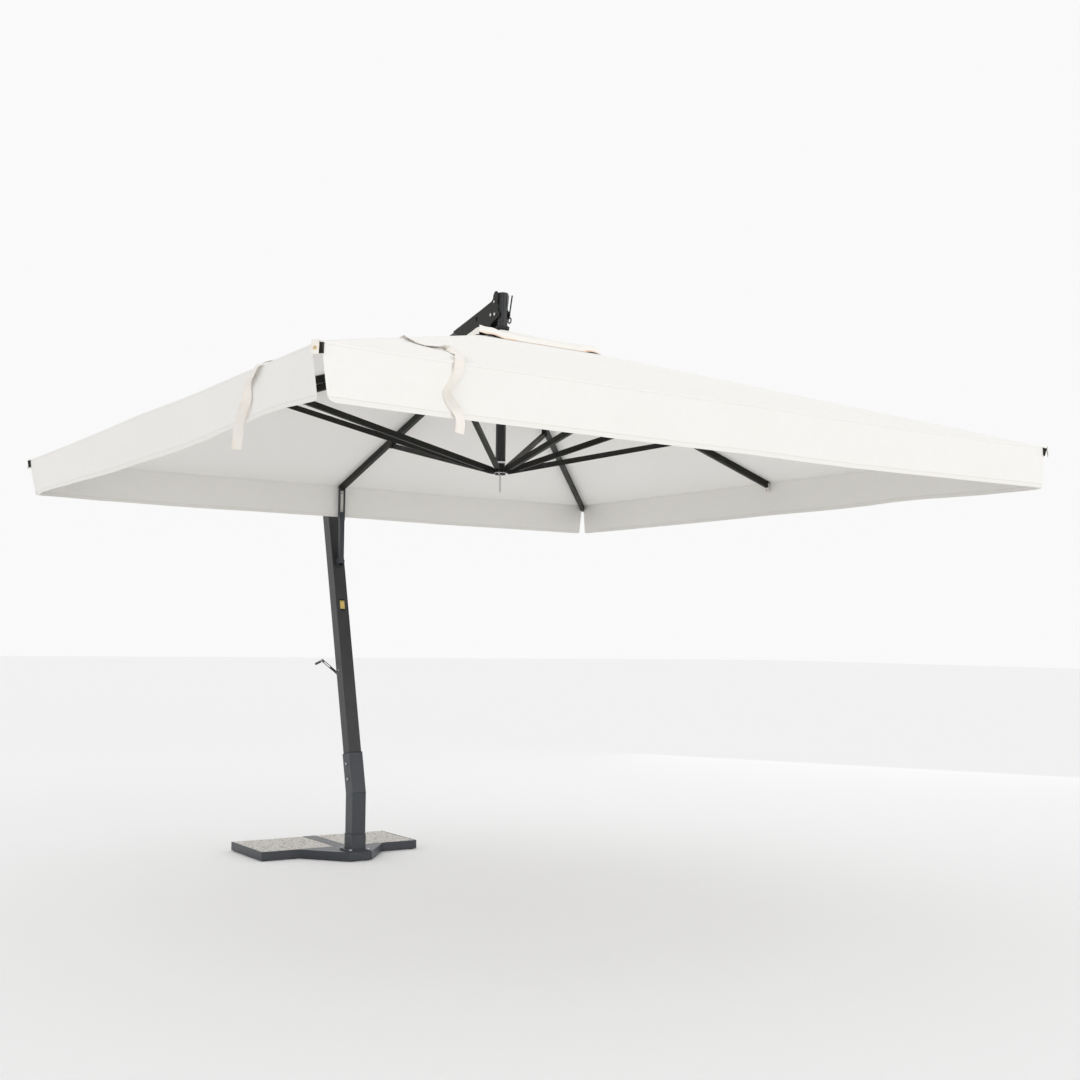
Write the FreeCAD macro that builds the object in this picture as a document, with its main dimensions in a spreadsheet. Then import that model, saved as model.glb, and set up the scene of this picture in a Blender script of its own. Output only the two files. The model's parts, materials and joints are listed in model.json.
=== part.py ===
# Cantilever parasol: a leaning mast on a slab-weighted base carries a square canopy on eight folding ribs.
# Frame: the origin is on the floor under the foot of the post, +X points from the mast to the canopy,
# +Z points up. All lengths are millimetres and all angles degrees.
import FreeCAD, Part
import math
import os

os.makedirs("parts", exist_ok=True)

doc = FreeCAD.newDocument("cantilever_parasol")
Vector = FreeCAD.Vector
Rotation = FreeCAD.Rotation

# ---------------------------------------------------------------- driving dimensions
DRIVING = {
    # canopy
    "canopy_half": 2000, "eave_height": 2452, "roof_rise": 657, "cloth_thickness": 1,
    "valance_depth": 210, "mast_gap": 178.232, "cloth_hole_radius": 90, "vent_half": 375,
    "vent_lift": 26, "vent_rise": 148, "seam_gap": 1, "corner_opening": 24,
    # ribs and struts
    "rib_width": 25, "rib_height": 38, "rib_wall": 1.6, "rib_clear": 1, "rib_overhang": 6,
    "crown_pin_radius": 75, "strut_width": 20, "strut_height": 30, "strut_wall": 1.5,
    "strut_station": 1270, "strut_drop": 36, "hub_pin_radius": 62, "hub_drop": 90,
    "pin_radius": 4, "pin_clear": 0.05, "bracket_wall": 3, "blade_thickness": 5,
    "mouth_length": 42, "slot_length": 150,
    # central pole
    "pole_radius": 27.5, "pole_wall": 3, "pole_above_roof": 226, "pole_below_eave": 37,
    # mast, sleeve and arm
    "mast_width": 86, "mast_wall": 2.5, "mast_lean": 13.4, "sleeve_wall": 4, "sleeve_clear": 1,
    "bend_height": 432, "sleeve_length": 255, "collar_height": 100, "collar_margin": 3,
    "arm_height": 80, "arm_width": 60, "arm_wall": 3, "arm_rise": 12.05,
    "arm_overhang": 75, "head_gap": 173.6, "head_drop": 109.1,
    # foot and base
    "slab_side": 500, "slab_thickness": 50, "slab_clear": 6, "steel_wall": 5, "foot_height": 5,
    "channel_width": 78, "tray_front": -197, "nose_front_margin": 11, "nose_side_margin": 6,
    "nose_root": 305, "flange_margin": 23, "flange_thickness": 8, "stub_radius": 38, "stub_wall": 5,
    "stub_height": 330,
    # winch and stay
    "winch_station": 812, "drum_radius": 16, "shaft_radius": 6, "crank_reach": 135, "crank_offset": 75,
    "knob_length": 105, "stay_width": 30, "stay_wall": 2, "stay_foot_drop": 506,
    "stay_pin_inset": 22, "fork_depth": 165,
    # winch housing, locking knob and name plate
    "housing_depth": 22, "housing_width": 62, "housing_height": 112, "housing_wall": 4,
    "knob_height": 290, "knob_radius": 18, "knob_thickness": 14, "plate_station": 1246,
    "plate_width": 32, "plate_length": 78, "plate_thickness": 1,
    # bolts, cheeks, gussets and rope wheels
    "bolt_radius": 5, "bolt_clear": 0.1, "bolt_head_radius": 8.5, "bolt_head_height": 6,
    "foot_bolt_radius": 6, "foot_bolt_clear": 0.5, "foot_bolt_head": 9.5, "pad_radius": 20,
    "cheek_thickness": 6, "gusset_thickness": 5, "wheel_radius": 26, "wheel_width": 14,
    # crown, lower hub, chain and release lever
    "crown_collar_radius": 44, "crown_collar_height": 44, "hub_drum_radius": 29, "hub_drum_height": 36,
    "hub_neck_radius": 25, "hub_neck_height": 28, "spigot_clear": 2.5, "spigot_height": 32,
    "link_pitch": 11, "link_radius": 4, "lever_length": 112, "lever_width": 9, "lever_thickness": 4,
    "ring_radius": 18, "ring_bore_radius": 11,
}

sheet = doc.addObject("Spreadsheet::Sheet", "sizes")
for row, (alias, number) in enumerate(DRIVING.items(), start=1):
    sheet.set("A%d" % row, alias)
    sheet.set("B%d" % row, str(number))
    sheet.setAlias("B%d" % row, alias)
doc.recompute()


def size(alias):
    """The number held by one cell of the sheet."""
    return float(sheet.get(alias))


def bind(item, **expressions):
    """Ties properties of an object to cells of the sheet, each named in braces."""
    for name, text in expressions.items():
        item.setExpression(name, text.replace("{", "sizes.").replace("}", ""))
    return item


def move(item, x=0, y=0, z=0, rotation=None):
    item.Placement = FreeCAD.Placement(Vector(x, y, z), rotation or Rotation())
    return item


ALONG_Y = Rotation(Vector(1, 0, 0), -90)
ALONG_X = Rotation(Vector(0, 1, 0), 90)
count = 0


def unique(stem):
    global count
    count += 1
    return "%s_%d" % (stem, count)


def box(length, width, height, x=0, y=0, z=0):
    """A box with bound edges whose low corner lies at x, y, z."""
    item = doc.addObject("Part::Box", unique("box"))
    bind(item, Length=length, Width=width, Height=height)
    return move(item, x, y, z)


def rod(radius, length, x=0, y=0, z=0, rotation=None):
    """A cylinder with bound sizes from x, y, z along its own axis, which is Z unless rotated."""
    item = doc.addObject("Part::Cylinder", unique("rod"))
    bind(item, Radius=radius, Height=length)
    return move(item, x, y, z, rotation)


def cone(radius_low, radius_high, length, x=0, y=0, z=0, rotation=None):
    item = doc.addObject("Part::Cone", unique("cone"))
    bind(item, Radius1=radius_low, Radius2=radius_high, Height=length)
    return move(item, x, y, z, rotation)


def cross_rod(radius, half_length, x=0, z=0):
    """A cylinder along Y, centred on the plane of symmetry."""
    half = evaluate(half_length)
    return rod(radius, "2 * (%s)" % half_length, x, -half, z, ALONG_Y)


def evaluate(text):
    """The value of a size expression, for places that follow from sizes."""
    scratch = doc.addObject("App::FeaturePython", unique("value"))
    scratch.addProperty("App::PropertyFloat", "Number")
    bind(scratch, Number=text)
    doc.recompute([scratch])
    number = scratch.Number
    doc.removeObject(scratch.Name)
    return number


def prism(outline, width, cuts=()):
    """A PartDesign body padded both ways from the XZ plane, with further outlines pocketed through it."""
    body = doc.addObject("PartDesign::Body", unique("profile"))
    plane = [item for item in body.Origin.OriginFeatures if item.Role == "XZ_Plane"][0]
    for step, points in enumerate((outline,) + tuple(cuts)):
        sketch = body.newObject("Sketcher::SketchObject", unique("outline"))
        sketch.AttachmentSupport = (plane, [""])
        sketch.MapMode = "FlatFace"
        for start, end in zip(points, points[1:] + points[:1]):
            sketch.addGeometry(Part.LineSegment(Vector(*start, 0), Vector(*end, 0)), False)
        feature = body.newObject("PartDesign::Pocket" if step else "PartDesign::Pad", unique("feature"))
        feature.Profile = sketch
        feature.SideType = "Symmetric"
        bind(feature, Length=width[step])
    return body


def fuse(*items):
    if len(items) == 1:
        return items[0]
    item = doc.addObject("Part::MultiFuse", unique("fuse"))
    item.Shapes = list(items)
    return item


def cut(base, *tools):
    item = doc.addObject("Part::Cut", unique("cut"))
    item.Base = base
    item.Tool = fuse(*tools)
    return item


def group(*items):
    """Separate solids kept in one sub-part, such as a set of bolts."""
    item = doc.addObject("Part::Compound", unique("group"))
    item.Links = list(items)
    return item


sub_parts = []


def sub_part(label, item, placement=None):
    """Names a finished object as one sub-part and sets where it stands."""
    item.Label = label
    if placement:
        item.Placement = placement
    sub_parts.append(item)
    return item


def solid_feature(shape):
    item = doc.addObject("Part::Feature", unique("solid"))
    item.Shape = shape
    return item


# ---------------------------------------------------------------- places that follow from the sizes
lean = math.radians(size("mast_lean"))
bend_height = size("bend_height")
mast_half = size("mast_width") / 2
UP_MAST = Vector(-math.sin(lean), 0, math.cos(lean))
MAST_FRONT = Vector(math.cos(lean), 0, math.sin(lean))
MAST_TILT = Rotation(Vector(0, 1, 0), -size("mast_lean"))


def on_mast(station, front=0, side=0):
    """A point at a distance up the mast from the bend, in front of its axis and to its left."""
    return Vector(0, side, bend_height) + UP_MAST * station + MAST_FRONT * front


def mast_place(station, front=0, side=0):
    return FreeCAD.Placement(on_mast(station, front, side), MAST_TILT)


half = size("canopy_half")
eave = size("eave_height")
rise = size("roof_rise")
reach = half + size("mast_gap") - (eave - bend_height) * math.tan(lean)
pole_top = eave + rise + size("pole_above_roof")
pole_bottom = eave - size("pole_below_eave")
hub_height = eave - size("hub_drop")
stay_foot = eave - size("stay_foot_drop")
roof_slope = math.atan(rise / half)
rib_half = size("rib_height") / 2
crown_radius = size("crown_pin_radius")
rib_drop = (rib_half + size("rib_clear")) / math.cos(roof_slope)
crown_height = eave + rise * (1 - crown_radius / half) - rib_drop
tip_height = eave - rib_drop
arm_slope = math.radians(size("arm_rise"))
head_x = reach - size("head_gap")
head_z = pole_top - size("head_drop")
arm_crossing = (head_z - bend_height - head_x * math.tan(arm_slope)) / (
    math.cos(lean) + math.sin(lean) * math.tan(arm_slope))
arm_length = (head_x + arm_crossing * math.sin(lean)) / math.cos(arm_slope)

RIBS = ["front", "front_left", "left", "rear_left", "rear", "rear_right", "right", "front_right"]


def is_corner(index):
    return index % 2 == 1


def rib_geometry(index):
    """Plan reach of the rib's tip from the pole, and the rib's slope; a corner rib clears the sloping hip."""
    plan = half * math.sqrt(2) if is_corner(index) else half
    hip_drop = size("rib_width") / 2 * math.tan(roof_slope) / math.sqrt(2) if is_corner(index) else 0
    return plan, math.atan2(crown_height - tip_height + hip_drop, plan - crown_radius)


def strut_geometry(index):
    """The strut's upper pin as plan radius and height, its length and its slope towards the hub."""
    plan, slope = rib_geometry(index)
    along = (size("strut_station") - crown_radius) / math.cos(slope)
    radius = crown_radius + along * math.cos(slope) - size("strut_drop") * math.sin(slope)
    height = crown_height - along * math.sin(slope) - size("strut_drop") * math.cos(slope)
    run = radius - size("hub_pin_radius")
    fall = height - hub_height
    return along, radius, height, math.hypot(run, fall), math.atan2(fall, run)


def turn(index, tilt):
    """Direction of one rib: turned about the pole, then tipped down by an angle in radians."""
    return Rotation(Vector(0, 0, 1), 45 * index).multiply(Rotation(Vector(0, 1, 0), math.degrees(tilt)))


base_low = size("foot_height")
base_top = base_low + size("steel_wall") + size("slab_thickness")
flange_top = base_top + size("flange_thickness")
sleeve_half = size("mast_width") / 2 + size("sleeve_clear") + size("sleeve_wall")
sleeve_bottom = flange_top + size("collar_height") + 2
SLEEVE = "({mast_width} + 2 * {sleeve_clear} + 2 * {sleeve_wall})"
COLLAR = "(%s + 2 * {collar_margin})" % SLEEVE
FOOT_BOLT_HOLE = "{foot_bolt_radius} + {foot_bolt_clear}"
BOLT_HOLE = "{bolt_radius} + {bolt_clear}"
collar_half = sleeve_half + size("collar_margin")
flange_half = collar_half + size("flange_margin")
nose_front = flange_half + size("nose_front_margin")
nose_half = flange_half + size("nose_side_margin")

# ---------------------------------------------------------------- base
def make_base():
    """Two open slab trays, a covered channel between them and a tapered nose under the post."""
    wall = size("steel_wall")
    low = base_low
    top = base_top
    cell = size("slab_side") + 2 * size("slab_clear")
    tray = cell + wall
    front = size("tray_front")
    rear = front - tray
    inner = size("channel_width") / 2
    outer = inner + cell + 2 * wall
    lip = 45                                    # shelf left round each tray's window, under the slab
    cell_text = "{slab_side} + 2 * {slab_clear}"
    rim_text = "{slab_thickness} + {steel_wall}"
    pieces = []
    for side in (1, -1):
        near = inner if side > 0 else -outer
        tray_floor = box(cell_text + " + {steel_wall}", cell_text + " + 2 * {steel_wall}", "{steel_wall}",
                         rear, near, low)
        window = box("%s - %g" % (cell_text, 2 * lip), "%s - %g" % (cell_text, 2 * lip), "4 * {steel_wall}",
                     rear + lip, near + wall + lip, low - wall)
        pieces.append(cut(tray_floor, window))
        for face in (inner, outer - wall):
            low_side = face if side > 0 else -face - wall
            pieces.append(box(cell_text + " + {steel_wall}", "{steel_wall}", rim_text, rear, low_side, low))
        front_wall = box("{steel_wall}", cell_text + " + 2 * {steel_wall}", rim_text, front - wall, near, low)
        pieces.append(front_wall)
    pieces.append(box(cell_text + " + 2 * {steel_wall}", "{channel_width} + 2 * {steel_wall}", "{steel_wall}",
                      rear - wall, -inner - wall, top - wall))
    nose = nose_solids(front, low, top, wall)
    bolts = [rod(FOOT_BOLT_HOLE, "30", x, y, top - 20) for x, y in flange_bolt_places()]
    return cut(fuse(nose, *pieces), *bolts)


def nose_outline(inset):
    front = nose_front - inset
    root = size("tray_front")
    near = nose_half - inset
    far = size("nose_root") - inset
    return [(root, -far), (front, -near), (front, near), (root, far)]


def nose_solids(front, low, top, wall):
    """The tapered nose: a cover plate on a wall that follows its edge, closed below under the post."""
    def block(inset, z_low, z_high):
        points = [Vector(x, y, z_low) for x, y in nose_outline(inset)]
        face = Part.Face(Part.makePolygon(points + points[:1]))
        return face.extrude(Vector(0, 0, z_high - z_low))
    shell = block(0, low, top).cut(block(wall, low - 1, top - wall))
    spine = Part.makeBox(nose_front - front - 2, 40, wall, Vector(front + 1, -20, low))
    pillar = Part.makeBox(60, 40, top - low, Vector(-30, -20, low))
    return solid_feature(shell.fuse([spine, pillar]).removeSplitter())


def flange_bolt_places():
    offset = (flange_half + collar_half) / 2
    return [(x * offset, y * offset) for x in (1, -1) for y in (1, -1)]


sub_part("base_frame", make_base())

slab_rear = size("tray_front") - size("steel_wall") - size("slab_clear") - size("slab_side")
slab_edge = size("channel_width") / 2 + size("steel_wall") + size("slab_clear")
slabs = [box("{slab_side}", "{slab_side}", "{slab_thickness}", slab_rear, y, base_low + size("steel_wall"))
         for y in (slab_edge, -slab_edge - size("slab_side"))]
sub_part("paving_slabs", group(*slabs))

rear_foot = size("tray_front") - size("slab_side")
outer_foot = size("channel_width") / 2 + size("slab_side") - 8
front_foot = size("tray_front") - 28
inner_foot = size("channel_width") / 2 + 26
nose_foot = nose_front - 23
nose_foot_side = nose_half - 28
FOOT_PLACES = [(0, 0), (nose_foot, nose_foot_side), (nose_foot, -nose_foot_side),
               (front_foot, outer_foot), (front_foot, -outer_foot), (rear_foot, outer_foot),
               (rear_foot, -outer_foot), (rear_foot, inner_foot), (rear_foot, -inner_foot)]
feet = [rod("{pad_radius}", "{foot_height}", x, y) for x, y in FOOT_PLACES]
sub_part("foot_pads", group(*feet))

# ---------------------------------------------------------------- foot of the post
flange_side = "%g" % (2 * flange_half)
flange = box(flange_side, flange_side, "{flange_thickness}", -flange_half, -flange_half, base_top)
collar = box(COLLAR, COLLAR, "{collar_height}", -collar_half, -collar_half, flange_top)
stub = rod("{stub_radius}", "{stub_height}", 0, 0, flange_top)
stub_bore = rod("{stub_radius} - {stub_wall}", "{stub_height}", 0, 0, flange_top + 20)
bolt_holes = [rod(FOOT_BOLT_HOLE, "30", x, y, base_top - 10) for x, y in flange_bolt_places()]
sub_part("post_foot", cut(fuse(flange, collar, stub), stub_bore, *bolt_holes))

bolt_solids = []
for x, y in flange_bolt_places():
    head = rod("{foot_bolt_head}", "8", x, y, flange_top)
    shank = rod("{foot_bolt_radius}", "{flange_thickness} + {steel_wall} + 12", x, y,
                base_top - size("steel_wall") - 12)
    bolt_solids.append(fuse(head, shank))
sub_part("flange_bolts", group(*bolt_solids))


# ---------------------------------------------------------------- sleeve, knob and mast
def bent_outline(offset, bottom, top_station):
    """Outline, in the XZ plane, of a bar that stands upright and then leans back at the bend."""
    miter = offset * math.tan(lean / 2)
    front_top = on_mast(top_station, offset)
    rear_top = on_mast(top_station, -offset)
    return [(offset, bottom), (offset, bend_height + miter), (front_top.x, front_top.z),
            (rear_top.x, rear_top.z), (-offset, bend_height - miter), (-offset, bottom)]


bore_half = sleeve_half - size("sleeve_wall")
knob_height = size("knob_height")
sleeve_outline = bent_outline(sleeve_half, sleeve_bottom, size("sleeve_length"))
sleeve_bore = bent_outline(bore_half, sleeve_bottom - 5, size("sleeve_length") + 5)
sleeve_body = prism(sleeve_outline, [SLEEVE, SLEEVE + " - 2 * {sleeve_wall}"], [sleeve_bore])
stem_radius = 4
STEM_HOLE = "%g" % (stem_radius + 0.2)
knob_hole = rod(STEM_HOLE, "{sleeve_wall} + 20", -sleeve_half - 10, 0, knob_height, ALONG_X)
SLEEVE_BOLTS = (90, 190)


def sleeve_bolt_holes():
    return [cross_rod(BOLT_HOLE, SLEEVE, on_mast(station).x, on_mast(station).z) for station in SLEEVE_BOLTS]


sub_part("sleeve", cut(sleeve_body, knob_hole, *sleeve_bolt_holes()))

bush_outer = "({mast_width} + 2 * {sleeve_clear} - 0.4)"
bush_half = evaluate(bush_outer) / 2
bush_block = box(bush_outer, bush_outer, "{stub_height} - {collar_height} - 30", -bush_half, -bush_half,
                 sleeve_bottom + 2)
bush_bore = rod("{stub_radius} + 0.3", "{stub_height}", 0, 0, sleeve_bottom - 10)
bush_hole = rod(STEM_HOLE, "{mast_width} / 2", -bush_half - 5, 0, knob_height, ALONG_X)
sub_part("swivel_bush", cut(bush_block, bush_bore, bush_hole))

knob_gap = 1.4                                  # between the sleeve and the knob's face
stem_length = sleeve_half + 1 - size("stub_radius")
knob_x = -sleeve_half - knob_gap
stem = rod("%g" % stem_radius, "%g" % stem_length, knob_x, 0, knob_height, ALONG_X)
knob_disc = rod("{knob_radius}", "{knob_thickness}", knob_x - size("knob_thickness"), 0, knob_height, ALONG_X)
sub_part("lock_knob", fuse(stem, knob_disc))

mast_top = arm_crossing - size("arm_height") / 2 - 6
MAST_START = 25
winch_station = size("winch_station")
mast_length = mast_top - MAST_START
mast_tube = box("{mast_width}", "{mast_width}", "%g" % mast_length, -mast_half, -mast_half, MAST_START)
mast_bore = box("{mast_width} - 2 * {mast_wall}", "{mast_width} - 2 * {mast_wall}", "%g" % mast_top,
                size("mast_wall") - mast_half, size("mast_wall") - mast_half, MAST_START - 5)
shaft_hole = rod("{shaft_radius} + 3", "20", -mast_half - 10, 0, winch_station, ALONG_X)
axle_holes = cross_rod("5.05", "{mast_width}", 0, winch_station)
bolt_holes = [cross_rod(BOLT_HOLE, "{mast_width}", 0, station) for station in SLEEVE_BOLTS]
sub_part("mast", cut(mast_tube, mast_bore, shaft_hole, axle_holes, *bolt_holes), mast_place(0))

plate = box("{plate_thickness}", "{plate_width}", "{plate_length}")
sub_part("mast_plate", plate, mast_place(size("plate_station") - size("plate_length") / 2, mast_half,
                                         -size("plate_width") / 2))

# ---------------------------------------------------------------- winch
housing_half = size("housing_width") / 2
housing_tall = size("housing_height") / 2
housing_wall = size("housing_wall")
housing_back = 3                                # the rear wall, thinner than the sides
housing_shell = box("{housing_depth}", "{housing_width}", "{housing_height}", -size("housing_depth"),
                    -housing_half, -housing_tall)
housing_room = box("{housing_depth} - %g" % housing_back, "{housing_width} - 2 * {housing_wall}",
                   "{housing_height} - 2 * {housing_wall}", housing_back - size("housing_depth"),
                   housing_wall - housing_half, housing_wall - housing_tall)
housing_bore = rod("{shaft_radius} + 0.3", "30", -30, 0, 0, ALONG_X)
winch_housing = cut(housing_shell, housing_room, housing_bore)
sub_part("winch_housing", winch_housing, mast_place(winch_station, -mast_half))

pinion = cone("27", "17", "10", -27.6, 0, 0, ALONG_X)
shaft_end = -mast_half - size("crank_offset")
shaft = rod("{shaft_radius}", "%g" % (-27 - shaft_end), shaft_end, 0, 0, ALONG_X)
CRANK_SWING = 49
crank_turn = Rotation(Vector(1, 0, 0), CRANK_SWING)
tip = crank_turn.multVec(Vector(0, 0, size("crank_reach")))
arm_bar = box("6", "18", "{crank_reach}", -3, -9, 0)
arm_slot = box("12", "8", "0.38 * {crank_reach}", -6, -4, 0.5 * size("crank_reach"))
arm_hub = rod("11", "6", -3, 0, 0, ALONG_X)
arm_eye = rod("10", "6", -3, 0, size("crank_reach"), ALONG_X)
arm_plate = cut(fuse(arm_bar, arm_hub, arm_eye), arm_slot)
move(arm_plate, shaft_end, 0, 0, crank_turn)
grip_pin = rod("3", "{knob_length} - 8", tip.x + shaft_end - size("knob_length") + 5, tip.y, tip.z, ALONG_X)
sub_part("crank", fuse(pinion, shaft, arm_plate, grip_pin), mast_place(winch_station))

grip_bar = rod("8", "{knob_length} - 6", 0, 0, 0, ALONG_X)
grip_bore = rod("3.1", "{knob_length}", 2, 0, 0, ALONG_X)
grip_base = mast_place(winch_station).multVec(Vector(shaft_end - 3.5 - size("knob_length") + 6, tip.y, tip.z))
sub_part("crank_knob", cut(grip_bar, grip_bore), FreeCAD.Placement(grip_base, MAST_TILT))

drum_left = 27.6
gear = cone("17", "27", "10", 0, drum_left - 10, 0, ALONG_Y)
drum = rod("{drum_radius}", "52", 0, -34, 0, ALONG_Y)
drum_flange = rod("{drum_radius} + 8", "3", 0, -37, 0, ALONG_Y)
axle = cross_rod("5", "{mast_width} / 2 + 4")
sub_part("winch_drum", fuse(gear, drum, drum_flange, axle), mast_place(winch_station))

# ---------------------------------------------------------------- arm and mast head
arm_pitch = Rotation(Vector(0, 1, 0), -size("arm_rise"))
crossing = on_mast(arm_crossing)
ALONG_ARM = Vector(math.cos(arm_slope), 0, math.sin(arm_slope))
ABOVE_ARM = Vector(-math.sin(arm_slope), 0, math.cos(arm_slope))


def on_arm(station, above=0, side=0):
    return crossing + ALONG_ARM * station + ABOVE_ARM * above + Vector(0, side, 0)


arm_start = -size("arm_overhang")
wheel_radius = size("wheel_radius")
arm_outer = box("%g + {arm_overhang}" % arm_length, "{arm_width}", "{arm_height}", arm_start,
                -size("arm_width") / 2, -size("arm_height") / 2)
arm_inner = box("%g + 3 * {arm_overhang}" % arm_length, "{arm_width} - 2 * {arm_wall}",
                "{arm_height} - 2 * {arm_wall}", arm_start + 6, size("arm_wall") - size("arm_width") / 2,
                size("arm_wall") - size("arm_height") / 2)
arm_rope_hole = rod("14", "20", 0, 0, -size("arm_height") / 2 - 10)
pulley_axle_hole = cross_rod("5", "{arm_width}", wheel_radius, 0)
gusset_thickness = size("gusset_thickness")
GUSSET_BOLTS = [(-47, 26), (47, 26), (-47, -26), (47, -26)]
gusset_holes = [cross_rod(BOLT_HOLE, "{arm_width}", x, z) for x, z in GUSSET_BOLTS]
sub_part("arm", cut(arm_outer, arm_inner, arm_rope_hole, pulley_axle_hole, *gusset_holes),
         FreeCAD.Placement(crossing, arm_pitch))


def gusset(side):
    """One side plate of the mast head with the packer that fills the step from the mast to the arm."""
    top = [on_arm(-68, 46), on_arm(70, 46), on_arm(70, -40), on_mast(mast_top - 90, mast_half + 4),
           on_mast(mast_top - 90, -mast_half - 4), on_arm(-68, -40)]
    outline = [(point.x, point.z) for point in top]
    plate_body = prism(outline, ["{gusset_thickness}"])
    move(plate_body, 0, side * (mast_half + gusset_thickness / 2), 0)
    gap = mast_half - size("arm_width") / 2
    packer = box("116", "%g" % gap, "74")
    packer_y = size("arm_width") / 2 if side > 0 else -mast_half
    start = on_arm(-58, -37)
    move(packer, start.x, packer_y, start.z, arm_pitch)
    return fuse(plate_body, packer)


def gusset_tools():
    tools = []
    for along, above in GUSSET_BOLTS:
        point = on_arm(along, above)
        tools.append(cross_rod(BOLT_HOLE, "{mast_width}", point.x, point.z))
    for front in (-25, 25):
        point = on_mast(mast_top - 60, front)
        tools.append(cross_rod(BOLT_HOLE, "{mast_width}", point.x, point.z))
    return tools


sub_part("mast_head", group(cut(gusset(1), *gusset_tools()), cut(gusset(-1), *gusset_tools())))


def through_bolt(x, z, reach_text, radius="{bolt_radius}", head="{bolt_head_radius}"):
    """A bolt along Y with a head at both ends, outside the faces at the given half width."""
    reach_half = evaluate(reach_text)
    shank = cross_rod(radius, reach_text + " + 1", x, z)
    left_head = rod(head, "{bolt_head_height}", x, reach_half, z, ALONG_Y)
    right_head = rod(head, "{bolt_head_height}", x, -reach_half - size("bolt_head_height"), z, ALONG_Y)
    return fuse(shank, left_head, right_head)


head_bolts = []
for along, above in GUSSET_BOLTS:
    point = on_arm(along, above)
    head_bolts.append(through_bolt(point.x, point.z, "{mast_width} / 2 + {gusset_thickness}"))

sleeve_bolts = []
for station in SLEEVE_BOLTS:
    point = on_mast(station)
    sleeve_bolts.append(through_bolt(point.x, point.z, SLEEVE + " / 2"))

pulley_point = on_arm(wheel_radius, 0)
wheel_width = size("wheel_width")


def pulley():
    """A grooved rope wheel on the plane of symmetry, turning on its own axle."""
    flange = 2
    rim = cross_rod("{wheel_radius} - 3", "{wheel_width} / 2 - %g" % flange)
    flanges = [rod("{wheel_radius}", "%g" % flange, 0, y, 0, ALONG_Y)
               for y in (-wheel_width / 2, wheel_width / 2 - flange)]
    return rim, flanges


rim, flanges = pulley()
sub_part("mast_pulley", fuse(rim, cross_rod("4.9", "{arm_width} / 2 - 0.2"), *flanges),
         FreeCAD.Placement(pulley_point, Rotation()))

# ---------------------------------------------------------------- head of the arm and central pole
cheek_thickness = size("cheek_thickness")
pole_radius = size("pole_radius")
cheek_inner = size("arm_width") / 2
hanger_x = reach - 20
hanger_z = pole_top - 116
arm_end = on_arm(arm_length, size("arm_height") / 2)


def cheek_outline():
    """Side plate that clasps the arm's end and the pole: long toe, raised head and hooked top."""
    toe = on_arm(arm_length - 300, size("arm_height") / 2 + 3)
    heel = on_arm(arm_length - 215, -size("arm_height") / 2 + 5)
    belly = on_arm(arm_length - 60, -size("arm_height") / 2 - 12)
    top = pole_top
    return [(toe.x, toe.z), (arm_end.x, arm_end.z + 4), (reach - 62, top - 38), (reach - 44, top - 25),
            (reach - 42, top - 8), (reach - 30, top + 8), (reach - 16, top + 12), (reach - 2, top + 4),
            (reach + 5, top - 12), (reach + 2, top - 44), (reach - 4, top - 82), (reach + 12, top - 102),
            (reach + 22, top - 118), (reach + 14, top - 134), (reach - 34, top - 146),
            (reach - 68, top - 164), (belly.x, belly.z), (heel.x, heel.z)]


cheeks = []
for side in (1, -1):
    plate_body = prism(cheek_outline(), ["{cheek_thickness}"])
    cheeks.append(move(plate_body, 0, side * (cheek_inner + cheek_thickness / 2), 0))
CHEEK_BOLTS = [(hanger_x, hanger_z), (hanger_x - 40, hanger_z + 4)]
arm_hole = on_arm(arm_length - 66, 8)
cheek_tools = [cross_rod(BOLT_HOLE, "{arm_width}", x, z) for x, z in CHEEK_BOLTS]
cheek_tools.append(cross_rod("12", "{arm_width}", arm_hole.x + 28, arm_hole.z + 8))
wheel_x = reach - wheel_radius
wheel_z = pole_top - 46
cheek_tools.append(cross_rod("4.05", "{arm_width}", wheel_x, wheel_z))
sub_part("head_cheeks", cut(group(*cheeks), *cheek_tools))

pole_length = pole_top - pole_bottom
pole_tube = rod("{pole_radius}", "%g" % pole_length, reach, 0, pole_bottom)
lug = box("78", "12", "46", hanger_x - 66, -6, hanger_z - 22)
lug_boss = [cross_rod("11", "{arm_width} / 2 - 0.2", x, z) for x, z in CHEEK_BOLTS]
pole_bore = rod("{pole_radius} - {pole_wall}", "%g" % (pole_length + 20), reach, 0, pole_bottom - 10)
lug_holes = [cross_rod(BOLT_HOLE, "{arm_width}", x, z) for x, z in CHEEK_BOLTS]
wheel_room = wheel_width + 3
head_slot = box("60", "%g" % wheel_room, "90", reach - 57, -wheel_room / 2, pole_top - 84)
wheel_hole = cross_rod("4.1", "{arm_width}", wheel_x, wheel_z)
pole_body = cut(fuse(pole_tube, lug, *lug_boss), pole_bore, head_slot, wheel_hole, *lug_holes)
sub_part("pole", pole_body)

hanger_bolts = [through_bolt(x, z, "{arm_width} / 2 + {cheek_thickness}") for x, z in CHEEK_BOLTS]
wheel_axle = through_bolt(wheel_x, wheel_z, "{arm_width} / 2 + {cheek_thickness}", "4", "7")
sub_part("frame_bolts", group(wheel_axle, *hanger_bolts, *head_bolts, *sleeve_bolts))

rim, flanges = pulley()
wheel_bore = cross_rod("4.1", "20")
head_pulley = cut(fuse(rim, *flanges), wheel_bore)
sub_part("head_pulley", head_pulley, FreeCAD.Placement(Vector(wheel_x, 0, wheel_z), Rotation()))

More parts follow.
